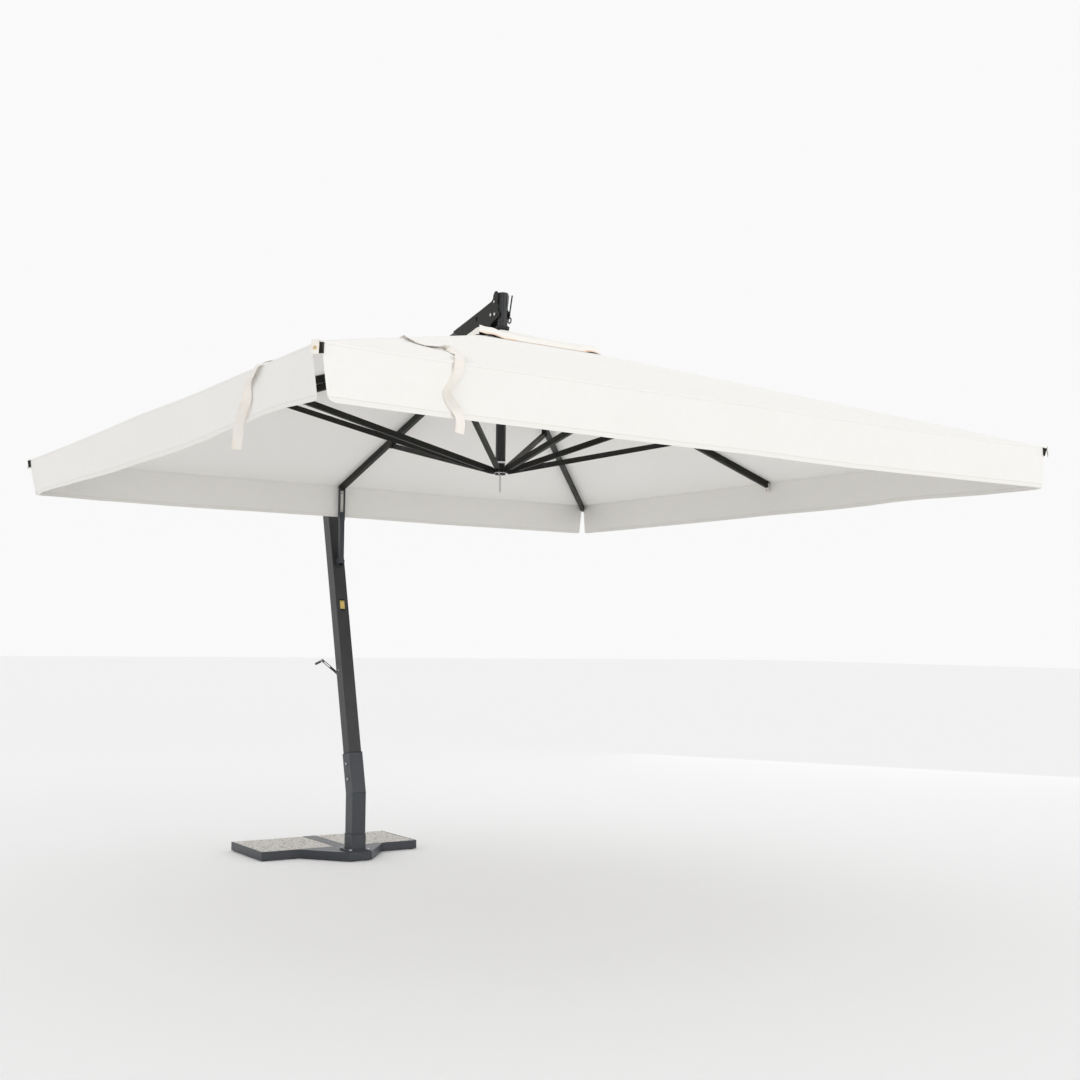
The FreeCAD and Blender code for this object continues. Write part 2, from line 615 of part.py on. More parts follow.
lever_side = cheek_inner + cheek_thickness + 0.4
ring_drop = 24
lever_x = reach + 8
lever_z = pole_top - 122
lever_arm = box("{lever_width}", "{lever_thickness}", "{lever_length}", -4, lever_side, 2)
lever_arm.Placement.Rotation = Rotation(Vector(0, 1, 0), 14)
ring_disc = rod("{ring_radius}", "{lever_thickness}", 4, lever_side, -ring_drop, ALONG_Y)
ring_bore = rod("{ring_bore_radius}", "{lever_thickness} + 4", 4, lever_side - 2, -ring_drop, ALONG_Y)
lever_boss = rod("9", "{lever_thickness}", 0, lever_side, 6, ALONG_Y)
release_lever = fuse(lever_arm, cut(ring_disc, ring_bore), lever_boss)
sub_part("release_lever", release_lever, FreeCAD.Placement(Vector(lever_x, 0, lever_z), Rotation()))

# ---------------------------------------------------------------- crown and folding ribs
MOUTH = "({rib_width} / 2 - {rib_wall} - 0.4)"


def crown():
    """A collar clamped on the pole, with a blade, a boss and a pin for each rib."""
    blade_start = size("crown_collar_radius") - 6
    pieces = [rod("{crown_collar_radius}", "{crown_collar_height}", reach, 0,
                  crown_height - size("crown_collar_height") / 2)]
    for index in range(len(RIBS)):
        blade = box("{crown_pin_radius} + 5 - %g" % blade_start, "{blade_thickness}", "24", blade_start,
                    -size("blade_thickness") / 2, -12)
        boss = cross_rod("8", MOUTH, crown_radius, 0)
        pin = cross_rod("{pin_radius}", "{rib_width} / 2 + 4", crown_radius, 0)
        heads = [rod("{pin_radius} + 3", "3", crown_radius, y, 0, ALONG_Y)
                 for y in (size("rib_width") / 2 + 0.4, -size("rib_width") / 2 - 3.4)]
        arm_of_crown = fuse(blade, boss, pin, *heads)
        pieces.append(move(arm_of_crown, reach, 0, crown_height, turn(index, 0)))
    pole_hole = rod("{pole_radius}", "80", reach, 0, crown_height - 40)
    return cut(fuse(*pieces), pole_hole)


sub_part("crown", crown())

REAR = RIBS.index("rear")
rear_tip = half - size("stay_pin_inset")
stay_x = reach - rear_tip


def rib_place(index):
    slope = rib_geometry(index)[1]
    direction = turn(index, 0).multVec(Vector(crown_radius, 0, 0))
    return FreeCAD.Placement(Vector(reach + direction.x, direction.y, crown_height), turn(index, slope))


def make_rib(index):
    """A rectangular tube, open at the crown so that the blade enters it, plugged at its tip."""
    plan, slope = rib_geometry(index)
    end = (plan + size("rib_overhang") if is_corner(index) else plan - 9) - crown_radius
    length = end / math.cos(slope)
    tube = box("%g + 15" % length, "{rib_width}", "{rib_height}", -15, -size("rib_width") / 2, -rib_half)
    wall = size("rib_wall")
    hollow = box("%g" % (length - 10), "{rib_width} - 2 * {rib_wall}", "{rib_height} - 2 * {rib_wall}",
                 -16, wall - size("rib_width") / 2, wall - rib_half)
    mouth = box("{mouth_length} + 16", "{rib_width} - 2 * {rib_wall}", "{rib_height} + 4", -16,
                wall - size("rib_width") / 2, -rib_half - 2)
    pin_hole = cross_rod("{pin_radius} + {pin_clear}", "{rib_width}")
    return cut(tube, hollow, mouth, pin_hole)


def make_bracket(index):
    """A saddle on the rib's two sides that drops to the strut pin, with its bolt."""
    along = strut_geometry(index)[0]
    drop = size("strut_drop")
    outside = size("rib_width") / 2
    pieces = [cross_rod("{pin_radius}", "{rib_width} / 2 + {bracket_wall} + 1", along, -drop)]
    for y in (outside, -outside - size("bracket_wall")):
        cheek = box("36", "{bracket_wall}", "{strut_drop} + 14", along - 18, y, -drop)
        foot = rod("18", "{bracket_wall}", along, y, -drop, ALONG_Y)
        pieces += [cheek, foot]
    for y in (outside + size("bracket_wall"), -outside - size("bracket_wall") - 4):
        pieces.append(rod("{pin_radius} + 3", "4", along, y, -drop, ALONG_Y))
    return fuse(*pieces)


def make_strut(index):
    """A rectangular tube: solid and bossed at the rib pin, open and slotted above for the hub's blade."""
    length = strut_geometry(index)[3]
    tall = size("strut_height") / 2
    wide = size("strut_width") / 2
    wall = size("strut_wall")
    tube = box("%g" % length, "{strut_width}", "{strut_height}", 0, -wide, -tall)
    ends = [cross_rod("{strut_height} / 2", "{strut_width} / 2", x) for x in (0, length)]
    boss = cross_rod("9", "{rib_width} / 2 - 0.3")
    heads = [rod("{pin_radius} + 3", "4", length, y, 0, ALONG_Y) for y in (wide, -wide - 4)]
    hollow = box("%g" % (length - 20 - size("mouth_length")), "{strut_width} - 2 * {strut_wall}",
                 "{strut_height} - 2 * {strut_wall}", 20, wall - wide, wall - tall)
    mouth = box("{mouth_length} + 20", "{strut_width} - 2 * {strut_wall}", "{strut_height} + 4",
                length - size("mouth_length"), wall - wide, -tall - 2)
    slot = box("{slot_length}", "{strut_width} - 2 * {strut_wall}", "2 * {strut_wall}",
               length - size("slot_length"), wall - wide, tall - 1.5 * wall)
    pin_hole = cross_rod("{pin_radius} + {pin_clear}", "{rib_width}")
    return cut(fuse(tube, boss, *ends, *heads), hollow, mouth, slot, pin_hole)


def strut_place(index):
    _, radius, height, _, fall = strut_geometry(index)
    direction = turn(index, 0).multVec(Vector(radius, 0, 0))
    tilt = Rotation(Vector(0, 1, 0), math.degrees(fall))
    inward = Rotation(Vector(0, 0, 1), 45 * index + 180).multiply(tilt)
    return FreeCAD.Placement(Vector(reach + direction.x, direction.y, height), inward)


# ---------------------------------------------------------------- cloth
def roof_height(x, y):
    return eave + rise * (1 - max(abs(x), abs(y)) / half)


def cloth_panel(corners):
    """A flat panel of the roof over plan points about the pole, as thick as the cloth, measured upwards."""
    points = [Vector(reach + x, y, roof_height(x, y)) for x, y in corners]
    face = Part.Face(Part.makePolygon(points + points[:1]))
    return face.extrude(Vector(0, 0, size("cloth_thickness")))


def valance_panel(start, end):
    """The hanging skirt between two plan points of the edge, just inside it."""
    thick = size("cloth_thickness")
    middle = (Vector(*start, 0) + Vector(*end, 0)) * 0.5
    inward = Vector(-thick if middle.x > half - 1 else 0, 0, 0)
    if middle.x < 1 - half:
        inward = Vector(thick, 0, 0)
    if abs(middle.y) > half - 1:
        inward = Vector(0, -thick if middle.y > 0 else thick, 0)
    low = eave - size("valance_depth")
    points = [Vector(reach + x, y, z) for (x, y), z in
              ((start, low), (end, low), (end, eave + thick / 2), (start, eave + thick / 2))]
    face = Part.Face(Part.makePolygon(points + points[:1]))
    return face.extrude(inward)


def make_sector(index):
    """The eighth of the canopy that rides on one rib, with its stretch of valance."""
    seam = half * math.tan(math.radians(22.5))
    gap = size("seam_gap") / 2
    inner = size("cloth_hole_radius")
    inner_seam = inner * math.tan(math.radians(22.5))

    def turned(x, y, quarter):
        for _ in range(quarter):
            x, y = -y, x
        return (x, y)

    quarter = index // 2
    if not is_corner(index):
        panel = [(inner, -inner_seam + gap), (half, -seam + gap), (half, seam - gap),
                 (inner, inner_seam - gap)]
        shape = cloth_panel([turned(x, y, quarter) for x, y in panel])
        edge = [turned(x, y, quarter) for x, y in ((half, -seam + gap), (half, seam - gap))]
        return shape.fuse(valance_panel(*edge))
    start = seam + gap
    open_end = half - size("corner_opening")
    first = [(inner, inner_seam + gap), (half, start), (half, half), (inner, inner)]
    second = [(inner, inner), (half, half), (start, half), (inner_seam + gap, inner)]
    shapes = [cloth_panel([turned(x, y, quarter) for x, y in panel]) for panel in (first, second)]
    edges = [((half, start), (half, open_end)), ((start, half), (open_end, half))]
    skirts = [valance_panel(*[turned(x, y, quarter) for x, y in edge]) for edge in edges]
    return shapes[0].fuse([shapes[1]] + skirts).removeSplitter()


for index, name in enumerate(RIBS):
    sub_part("rib_" + name, make_rib(index), rib_place(index))
    sub_part("rib_bracket_" + name, make_bracket(index), rib_place(index))
    sub_part("strut_" + name, make_strut(index), strut_place(index))
    sub_part("canopy_" + name, solid_feature(make_sector(index)))


def make_vent():
    """The small square cloth cap over the crown: four sloping panels round the pole."""
    edge = size("vent_half")
    edge_height = roof_height(edge, 0) + size("vent_lift")
    hole = pole_radius + 3
    slope = size("vent_rise") / edge
    panels = []
    for quarter in range(4):
        points = []
        for x, y in ((hole, -hole), (edge, -edge), (edge, edge), (hole, hole)):
            height = edge_height + slope * (edge - x)
            for _ in range(quarter):
                x, y = -y, x
            points.append(Vector(reach + x, y, height))
        face = Part.Face(Part.makePolygon(points + points[:1]))
        panels.append(face.extrude(Vector(0, 0, size("cloth_thickness"))))
    return panels[0].fuse(panels[1:])


sub_part("vent_cap", solid_feature(make_vent()))


# ---------------------------------------------------------------- lower hub and its chain
def make_hub():
    """The hub that the winch rope lifts: a drum with eight blades, a neck and a spigot into the pole."""
    height = hub_height
    drum_bottom = height - 24
    neck = drum_bottom + size("hub_drum_height")
    throat = neck + size("hub_neck_height") - 1
    spigot = throat + 10
    spigot_radius = pole_radius - size("pole_wall") - size("spigot_clear") - 2
    pieces = [rod("{hub_drum_radius}", "{hub_drum_height}", reach, 0, drum_bottom),
              rod("{hub_neck_radius}", "{hub_neck_height}", reach, 0, neck),
              rod("%g" % (spigot_radius - 2), "14", reach, 0, throat),
              rod("%g" % (spigot_radius + 2), "4", reach, 0, spigot - 4),
              rod("%g" % spigot_radius, "{spigot_height}", reach, 0, spigot)]
    blade_root = size("hub_drum_radius") - 7
    for index in range(len(RIBS)):
        blade = box("{hub_pin_radius} + 9 - %g" % blade_root, "{blade_thickness}", "20")
        corner = turn(index, 0).multVec(Vector(blade_root, -size("blade_thickness") / 2, -10))
        pieces.append(move(blade, reach + corner.x, corner.y, height + corner.z, turn(index, 0)))
    return fuse(*pieces)


sub_part("lower_hub", make_hub())

LINK_COUNT = 9
link_pitch = size("link_pitch")
chain_top = hub_height - 24
chain_length = LINK_COUNT * link_pitch
links = [rod("1.5", "%g" % chain_length, reach, 0, chain_top - chain_length)]
for link in range(LINK_COUNT):
    bead = doc.addObject("Part::Sphere", unique("bead"))
    bind(bead, Radius="{link_radius}")
    links.append(move(bead, reach, 0, chain_top - (link + 0.7) * link_pitch))
sub_part("hub_chain", fuse(*links))

# ---------------------------------------------------------------- stay between mast and rear rib
stay_half = size("stay_width") / 2
rear_slope = rib_geometry(REAR)[1]
stay_head = crown_height - (rear_tip - crown_radius) * math.tan(rear_slope)
ear_front = stay_x * MAST_FRONT.x + (stay_foot - bend_height) * MAST_FRONT.z
ear_station = stay_x * UP_MAST.x + (stay_foot - bend_height) * UP_MAST.z
EAR = 4                                         # thickness of each ear and fork plate
PIN_HEAD = 5                                    # height of each pin's head
ear_pieces = [cross_rod("{bolt_radius}", "{stay_width} / 2 + 5", 0, 0)]
for y in (stay_half + 0.5, -stay_half - 0.5 - EAR):
    ear_pieces.append(rod("15", "%g" % EAR, 0, y, 0, ALONG_Y))
    ear_pieces.append(box("%g" % (ear_front - mast_half), "%g" % EAR, "44", mast_half - ear_front, y, -22))
for y in (stay_half + 0.5 + EAR, -stay_half - 0.5 - EAR - PIN_HEAD):
    ear_pieces.append(rod("{bolt_head_radius}", "%g" % PIN_HEAD, 0, y, 0, ALONG_Y))
    strap_y = y if y > 0 else y - 11 + PIN_HEAD
    ear_pieces.append(box("4", "11", "60", mast_half - ear_front, strap_y, -30))
sub_part("stay_bracket", fuse(*ear_pieces), mast_place(ear_station, ear_front))

bar_top = stay_head - size("fork_depth") - stay_foot
stay_tube = box("{stay_width}", "{stay_width}", "%g" % bar_top, -stay_half, -stay_half, 0)
stay_bore = box("{stay_width} - 2 * {stay_wall}", "{stay_width} - 2 * {stay_wall}", "%g" % (bar_top + 2),
                size("stay_wall") - stay_half, size("stay_wall") - stay_half, 24)
stay_eye = cross_rod("{stay_width} / 2", "{stay_width} / 2")
stay_hole = cross_rod(BOLT_HOLE, "{stay_width}")
fork_rise = bar_top + size("fork_depth")
fork_pieces = []
for y in (stay_half, -stay_half - EAR):
    fork_pieces.append(box("26", "%g" % EAR, "{fork_depth} + 55", -13, y, bar_top - 55))
    fork_pieces.append(rod("13", "%g" % EAR, 0, y, fork_rise, ALONG_Y))
for y in (stay_half + EAR, -stay_half - EAR - PIN_HEAD):
    fork_pieces.append(rod("{bolt_head_radius}", "%g" % PIN_HEAD, 0, y, fork_rise, ALONG_Y))
fork_bolt = cross_rod("4", "{stay_width} / 2 + 8", 0, bar_top - 30)
stay_bar = cut(fuse(stay_tube, stay_eye), stay_bore, stay_hole)
stay = fuse(stay_bar, fork_bolt, *fork_pieces)
sub_part("stay", stay, FreeCAD.Placement(Vector(stay_x, 0, stay_foot), Rotation()))

# ---------------------------------------------------------------- checks and export
doc.recompute()
faults = []
for item in doc.Objects:
    if "Invalid" in item.State or "Error" in item.State:
        faults.append("%s (%s): %s" % (item.Name, item.Label, item.State))
for item in sub_parts:
    if item.Shape.isNull() or not item.Shape.isValid() or not item.Shape.Solids:
        faults.append("%s has no valid solid" % item.Label)
if faults:
    raise SystemExit("\n".join(faults))

for item in sub_parts:
    item.Shape.exportStep(os.path.join("parts", item.Label + ".step"))
    print("%-28s %2d solids %12.0f mm3" % (item.Label, len(item.Shape.Solids), item.Shape.Volume))
print(len(sub_parts), "sub-parts")
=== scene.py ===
import json
import math
import bmesh
import bpy
from mathutils import Matrix, Vector, noise


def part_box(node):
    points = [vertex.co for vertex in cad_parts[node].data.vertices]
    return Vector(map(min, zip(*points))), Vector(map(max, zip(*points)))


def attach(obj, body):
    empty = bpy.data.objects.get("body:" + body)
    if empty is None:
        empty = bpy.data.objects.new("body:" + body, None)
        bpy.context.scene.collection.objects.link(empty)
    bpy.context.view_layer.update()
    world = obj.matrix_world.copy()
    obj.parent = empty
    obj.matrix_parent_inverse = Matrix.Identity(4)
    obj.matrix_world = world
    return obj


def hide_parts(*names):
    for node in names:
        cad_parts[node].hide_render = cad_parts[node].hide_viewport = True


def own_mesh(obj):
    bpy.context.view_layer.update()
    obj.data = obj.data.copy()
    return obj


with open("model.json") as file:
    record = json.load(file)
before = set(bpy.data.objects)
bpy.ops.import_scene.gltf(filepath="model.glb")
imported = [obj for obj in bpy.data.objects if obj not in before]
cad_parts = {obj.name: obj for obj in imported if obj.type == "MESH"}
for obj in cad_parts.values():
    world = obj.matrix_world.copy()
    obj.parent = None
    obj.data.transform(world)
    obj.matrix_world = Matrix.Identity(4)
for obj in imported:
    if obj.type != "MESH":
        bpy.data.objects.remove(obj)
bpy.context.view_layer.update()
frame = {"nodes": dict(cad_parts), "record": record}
print("frame loaded")

seamShare = math.tan(math.radians(22.5))      # where two roof panels meet, halfway between two ribs
ribNames = ["front", "front_left", "left", "rear_left", "rear", "rear_right", "right", "front_right"]


# shader sums are written as plain sums on these wires
class Wire:
    def __init__(self, finish, socket):
        self.finish = finish
        self.socket = socket

    def __add__(self, other):
        return self.finish.sum("ADD", self, other)

    def __sub__(self, other):
        return self.finish.sum("SUBTRACT", self, other)

    def __rsub__(self, other):
        return self.finish.sum("SUBTRACT", other, self)

    def __mul__(self, other):
        return self.finish.sum("MULTIPLY", self, other)

    def __truediv__(self, other):
        return self.finish.sum("DIVIDE", self, other)

    def __lt__(self, other):
        return self.finish.sum("LESS_THAN", self, other)

    def __gt__(self, other):
        return self.finish.sum("GREATER_THAN", self, other)

    def __abs__(self):
        return self.finish.sum("ABSOLUTE", self, 0)

    __radd__ = __add__
    __rmul__ = __mul__


class Finish:
    def __init__(self, name, **fixed):
        self.material = bpy.data.materials.new(name)
        self.material.use_nodes = True
        self.tree = self.material.node_tree
        self.shader = self.tree.nodes["Principled BSDF"]
        for socket, value in fixed.items():
            self.feed(self.shader.inputs[socket.replace("_", " ")], value)

    def feed(self, socket, value):
        if isinstance(value, Wire):
            self.tree.links.new(value.socket, socket)
        else:
            socket.default_value = value

    def node(self, kind, settings=None, sockets=None, out=0):
        made = self.tree.nodes.new(kind)
        for key, value in (settings or {}).items():
            if key == "stops":
                ramp = made.color_ramp
                while len(ramp.elements) < len(value):
                    ramp.elements.new(0.5)
                for element, (place, colour) in zip(ramp.elements, value):
                    element.position = place
                    element.color = (*colour, 1)
            else:
                setattr(made, key, value)
        for key, value in (sockets or {}).items():
            self.feed(made.inputs[key], value)
        return Wire(self, made.outputs[out])

    def sum(self, operation, first, second):
        return self.node("ShaderNodeMath", {"operation": operation}, {0: first, 1: second})

    def place(self):
        return self.node("ShaderNodeTexCoord", out="Object")

    def axes(self, wire):
        split = self.node("ShaderNodeSeparateXYZ", sockets={0: wire})
        return [Wire(self, split.socket.node.outputs[i]) for i in range(3)]

    def noise(self, where, scale, detail=3.0, roughness=0.5):
        return self.node("ShaderNodeTexNoise", sockets={"Vector": where, "Scale": scale, "Detail": detail,
                                                        "Roughness": roughness}, out="Fac")

    def mix(self, share, first, second):
        return self.node("ShaderNodeMix", {"data_type": "RGBA"}, {0: share, 6: first, 7: second}, out=2)

    def ramp(self, share, stops):
        return self.node("ShaderNodeValToRGB", {"stops": stops}, {"Fac": share})

    # from low to high becomes 0 to 1, held at the ends
    def between(self, wire, low, high):
        return self.node("ShaderNodeMapRange", sockets={"Value": wire, "From Min": low, "From Max": high})

    def relief(self, height, strength, distance, normal=None):
        sockets = {"Height": height, "Strength": strength, "Distance": distance}
        if normal:
            sockets["Normal"] = normal
        return self.node("ShaderNodeBump", sockets=sockets, out="Normal")

    # how much a soft edge would turn away from the true face: a mask along the edges, used to paint them
    # lighter as rubbed wear and painted highlight
    def edges(self, radius):
        soft = self.node("ShaderNodeBevel", {"samples": 6}, {"Radius": radius})
        true = self.node("ShaderNodeNewGeometry", out="True Normal")
        facing = self.node("ShaderNodeVectorMath", {"operation": "DOT_PRODUCT"}, {0: soft, 1: true},
                           out="Value")
        return soft, self.between(1 - facing, 0.02, 0.25)


def colour(red, green, blue):
    return (red, green, blue, 1)


# the edge share is how far the edges are painted towards the lighter edge tone, as rubbed wear and painted
# highlight
powder = {"grainScale": 900, "cloudScale": 7, "edgeRadius": 0.0018, "edgeWearAndHighlight": 0.45, "peelDepth": 0.0003}


# powder coat: fine orange peel, a little dust in the tone, edges painted a shade lighter, partly rubbed wear
# and partly painted highlight
def powderCoat(name, dark, light, edge, gloss, peel=0.35, shine=0.5):
    coat = Finish(name, Specular_IOR_Level=shine)
    where = coat.place()
    grain = coat.noise(where, powder["grainScale"], 2)
    cloud = coat.noise(where, powder["cloudScale"], 4)
    soft, wornEdgeAndHighlight = coat.edges(powder["edgeRadius"])
    tone = coat.mix(cloud, colour(*dark), colour(*light))
    # edges painted lighter: partly rubbed wear, partly painted highlight
    coat.feed(coat.shader.inputs["Base Color"], coat.mix(wornEdgeAndHighlight * powder["edgeWearAndHighlight"], tone, colour(*edge)))
    coat.feed(coat.shader.inputs["Roughness"], gloss + 0.12 * cloud + 0.08 * grain)
    coat.feed(coat.shader.inputs["Normal"], coat.relief(grain, peel, powder["peelDepth"], soft))
    return coat.material


# dark tone, light tone, edge tone (rubbed wear and painted highlight), roughness, then the orange peel and
# the shine where they differ
coats = {
    "aluminiumCoat": ((0.022, 0.022, 0.023), (0.034, 0.034, 0.036), (0.13, 0.13, 0.135), 0.34),
    "steelCoat": ((0.022, 0.026, 0.033), (0.038, 0.043, 0.053), (0.17, 0.18, 0.20), 0.27, 0.5),
    "ribCoat": ((0.0075, 0.0078, 0.006), (0.014, 0.0145, 0.011), (0.05, 0.05, 0.044), 0.42, 0.3, 0.28),
}
aluminiumCoat, steelCoat, ribCoat = (powderCoat(name, *tones) for name, tones in coats.items())

poleCut = {"centre": 1.697, "flutes": 14, "depth": 0.0012}


# the drawn pole: shallow flutes all round under a glossy coat
def poleFinish():
    coat = Finish("poleCoat", Metallic=0.3)
    where = coat.place()
    x, y = coat.axes(where)[:2]
    turn = coat.sum("ARCTAN2", y, x - poleCut["centre"])
    flute = coat.sum("SINE", turn * poleCut["flutes"], 0)
    cloud = coat.noise(where, 9, 4)
    coat.feed(coat.shader.inputs["Base Color"],
              coat.mix(cloud, colour(0.014, 0.015, 0.017), colour(0.026, 0.027, 0.030)))
    coat.feed(coat.shader.inputs["Roughness"], 0.16 + 0.14 * cloud)
    coat.feed(coat.shader.inputs["Normal"], coat.relief(flute, 0.6, poleCut["depth"]))
    return coat.material


poleCoat = poleFinish()


gravelMix = {"stonesPerMetre": 95.0, "warpScale": 60.0, "warp": 0.006, "speckScale": 420, "depth": 0.004}


# exposed gravel: rounded stones of several sizes in a pale mortar
def gravelFinish():
    slab = Finish("washedGravel", Roughness=0.85)
    where = slab.place()
    warp = slab.node("ShaderNodeTexNoise", sockets={"Vector": where, "Scale": gravelMix["warpScale"],
                                                    "Detail": 2.0}, out="Color")
    bent = slab.node("ShaderNodeVectorMath", {"operation": "MULTIPLY_ADD"},
                     {0: warp, 1: (gravelMix["warp"],) * 3, 2: where})
    spread = {"Vector": bent, "Scale": gravelMix["stonesPerMetre"]}
    stones = slab.node("ShaderNodeTexVoronoi", {"feature": "F1"}, spread, out="Color")
    gap = slab.node("ShaderNodeTexVoronoi", {"feature": "DISTANCE_TO_EDGE"}, spread)
    pick = slab.axes(stones)[0]
    tone = slab.ramp(pick, [(0.0, (0.10, 0.07, 0.05)), (0.09, (0.30, 0.25, 0.21)), (0.17, (0.72, 0.67, 0.60)),
                            (0.4, (0.90, 0.88, 0.85)), (0.8, (0.97, 0.96, 0.94))])
    stone = slab.between(gap, 0.02, 0.14)
    speck = slab.noise(where, gravelMix["speckScale"], 3)
    body = slab.mix(speck * 0.25, tone, colour(0.5, 0.45, 0.4))
    slab.feed(slab.shader.inputs["Base Color"], slab.mix(stone, colour(0.66, 0.62, 0.56), body))
    slab.feed(slab.shader.inputs["Roughness"], 0.62 + 0.25 * speck)
    slab.feed(slab.shader.inputs["Normal"], slab.relief(stone + 0.15 * speck, 0.9, gravelMix["depth"]))
    return slab.material


gravel = gravelFinish()


def plasticFinish(name, tone, grainScale, rough):
    shell = Finish(name)
    where = shell.place()
    grain = shell.noise(where, grainScale, 2)
    cloud = shell.noise(where, 30, 3)
    soft, wornEdgeAndHighlight = shell.edges(0.0012)
    lighter = tuple(value * 1.7 + 0.01 for value in tone)
    # edges painted lighter, partly rubbed wear and partly painted highlight, over a random cloud of lighter
    # tone
    shell.feed(shell.shader.inputs["Base Color"],
               shell.mix(wornEdgeAndHighlight * 0.5 + 0.2 * cloud, colour(*tone), colour(*lighter)))
    shell.feed(shell.shader.inputs["Roughness"], rough + 0.15 * grain)
    shell.feed(shell.shader.inputs["Normal"], shell.relief(grain, 0.35, 0.0003, soft))
    return shell.material


blackPlastic = plasticFinish("blackPlastic", (0.012, 0.012, 0.013), 700, 0.42)
rubber = plasticFinish("rubber", (0.018, 0.018, 0.018), 350, 0.68)
rivetBrown = plasticFinish("rivetBrown", (0.16, 0.045, 0.030), 500, 0.40)


# plated metal: fine drawn lines and faint tarnish
def platedFinish(name, tone, dull, rough, lineScale):
    plate = Finish(name, Metallic=1.0)
    where = plate.place()
    stretched = plate.node("ShaderNodeMapping", sockets={"Vector": where, "Scale": (1.0, 1.0, 0.06)})
    lines = plate.noise(stretched, lineScale, 3)
    cloud = plate.noise(where, 55, 4)
    soft = plate.edges(0.0008)[0]
    plate.feed(plate.shader.inputs["Base Color"], plate.mix(cloud * 0.6, colour(*tone), colour(*dull)))
    plate.feed(plate.shader.inputs["Roughness"], rough + 0.16 * cloud + 0.06 * lines)
    plate.feed(plate.shader.inputs["Normal"], plate.relief(lines, 0.12, 0.0002, soft))
    return plate.material


chrome = platedFinish("chrome", (0.83, 0.84, 0.86), (0.62, 0.62, 0.63), 0.08, 900)
zinc = platedFinish("zinc", (0.62, 0.62, 0.63), (0.38, 0.38, 0.39), 0.28, 1200)
brass = platedFinish("brass", (0.80, 0.58, 0.24), (0.50, 0.35, 0.14), 0.22, 900)


plateLook = {"band": (0.70, 0.74), "line": (0.56, 0.61)}       # shares of the way from its middle to its ends


# the name plate: gilt with a dark band at each end and a thin line inside, no lettering
def namePlateFinish():
    low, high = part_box("mast_plate")
    plate = Finish("giltPlate", Metallic=0.85)
    where = plate.place()
    height = plate.axes(where)[2]
    middle = (low.z + high.z) / 2
    reach = (high.z - low.z) / 2
    away = abs(height - middle) / reach
    band = plate.between(away, *plateLook["band"])
    line = (away > plateLook["line"][0]) * (away < plateLook["line"][1])
    cloud = plate.noise(where, 120, 3)
    gilt = plate.mix(cloud, colour(0.72, 0.52, 0.16), colour(0.86, 0.68, 0.27))
    dark = plate.mix(band, gilt, colour(0.02, 0.02, 0.02))
    plate.feed(plate.shader.inputs["Base Color"], plate.mix(line, dark, colour(0.10, 0.08, 0.04)))
    plate.feed(plate.shader.inputs["Roughness"], 0.26 + 0.2 * cloud)
    plate.feed(plate.shader.inputs["Normal"], plate.relief(cloud - 0.5 * line, 0.2, 0.0004))
    return plate.material


giltPlate = namePlateFinish()

# the roof's cloth, in metres; sag and pull are how far it dips between two ribs
canopy = {
    "centre": poleCut["centre"], "half": 2.0, "eave": 2.452, "rise": 0.657,
    "hole": 0.09, "drop": 0.21, "opening": 0.024, "cloth": 0.0012, "proud": 0.0006,
    "hem": 0.022, "sag": 0.004, "pull": 0.003, "uneven": 0.004,
    "rows": 64, "columns": 40, "dropRows": 16, "lastRow": 0.005, "firstDrop": 0.022,
}
# creases that spread from a corner
cornerFan = {"folds": 15, "height": 0.0028, "fade": 0.35, "start": 0.12}
slopeRatio = math.hypot(1, canopy["rise"] / canopy["half"])
slopeLength = canopy["half"] * slopeRatio


# threads, seams and stitches, in metres: where each line of stitches runs, and its inner and outer width
sewing = {
    "thread": 0.0016, "hipSeam": (0.004, 0.007), "hipLine": 0.011, "foldLine": 0.009, "hemLine": 0.003,
    "hemEdge": 0.002, "stitch": (0.0006, 0.0014), "dash": 0.006,
}


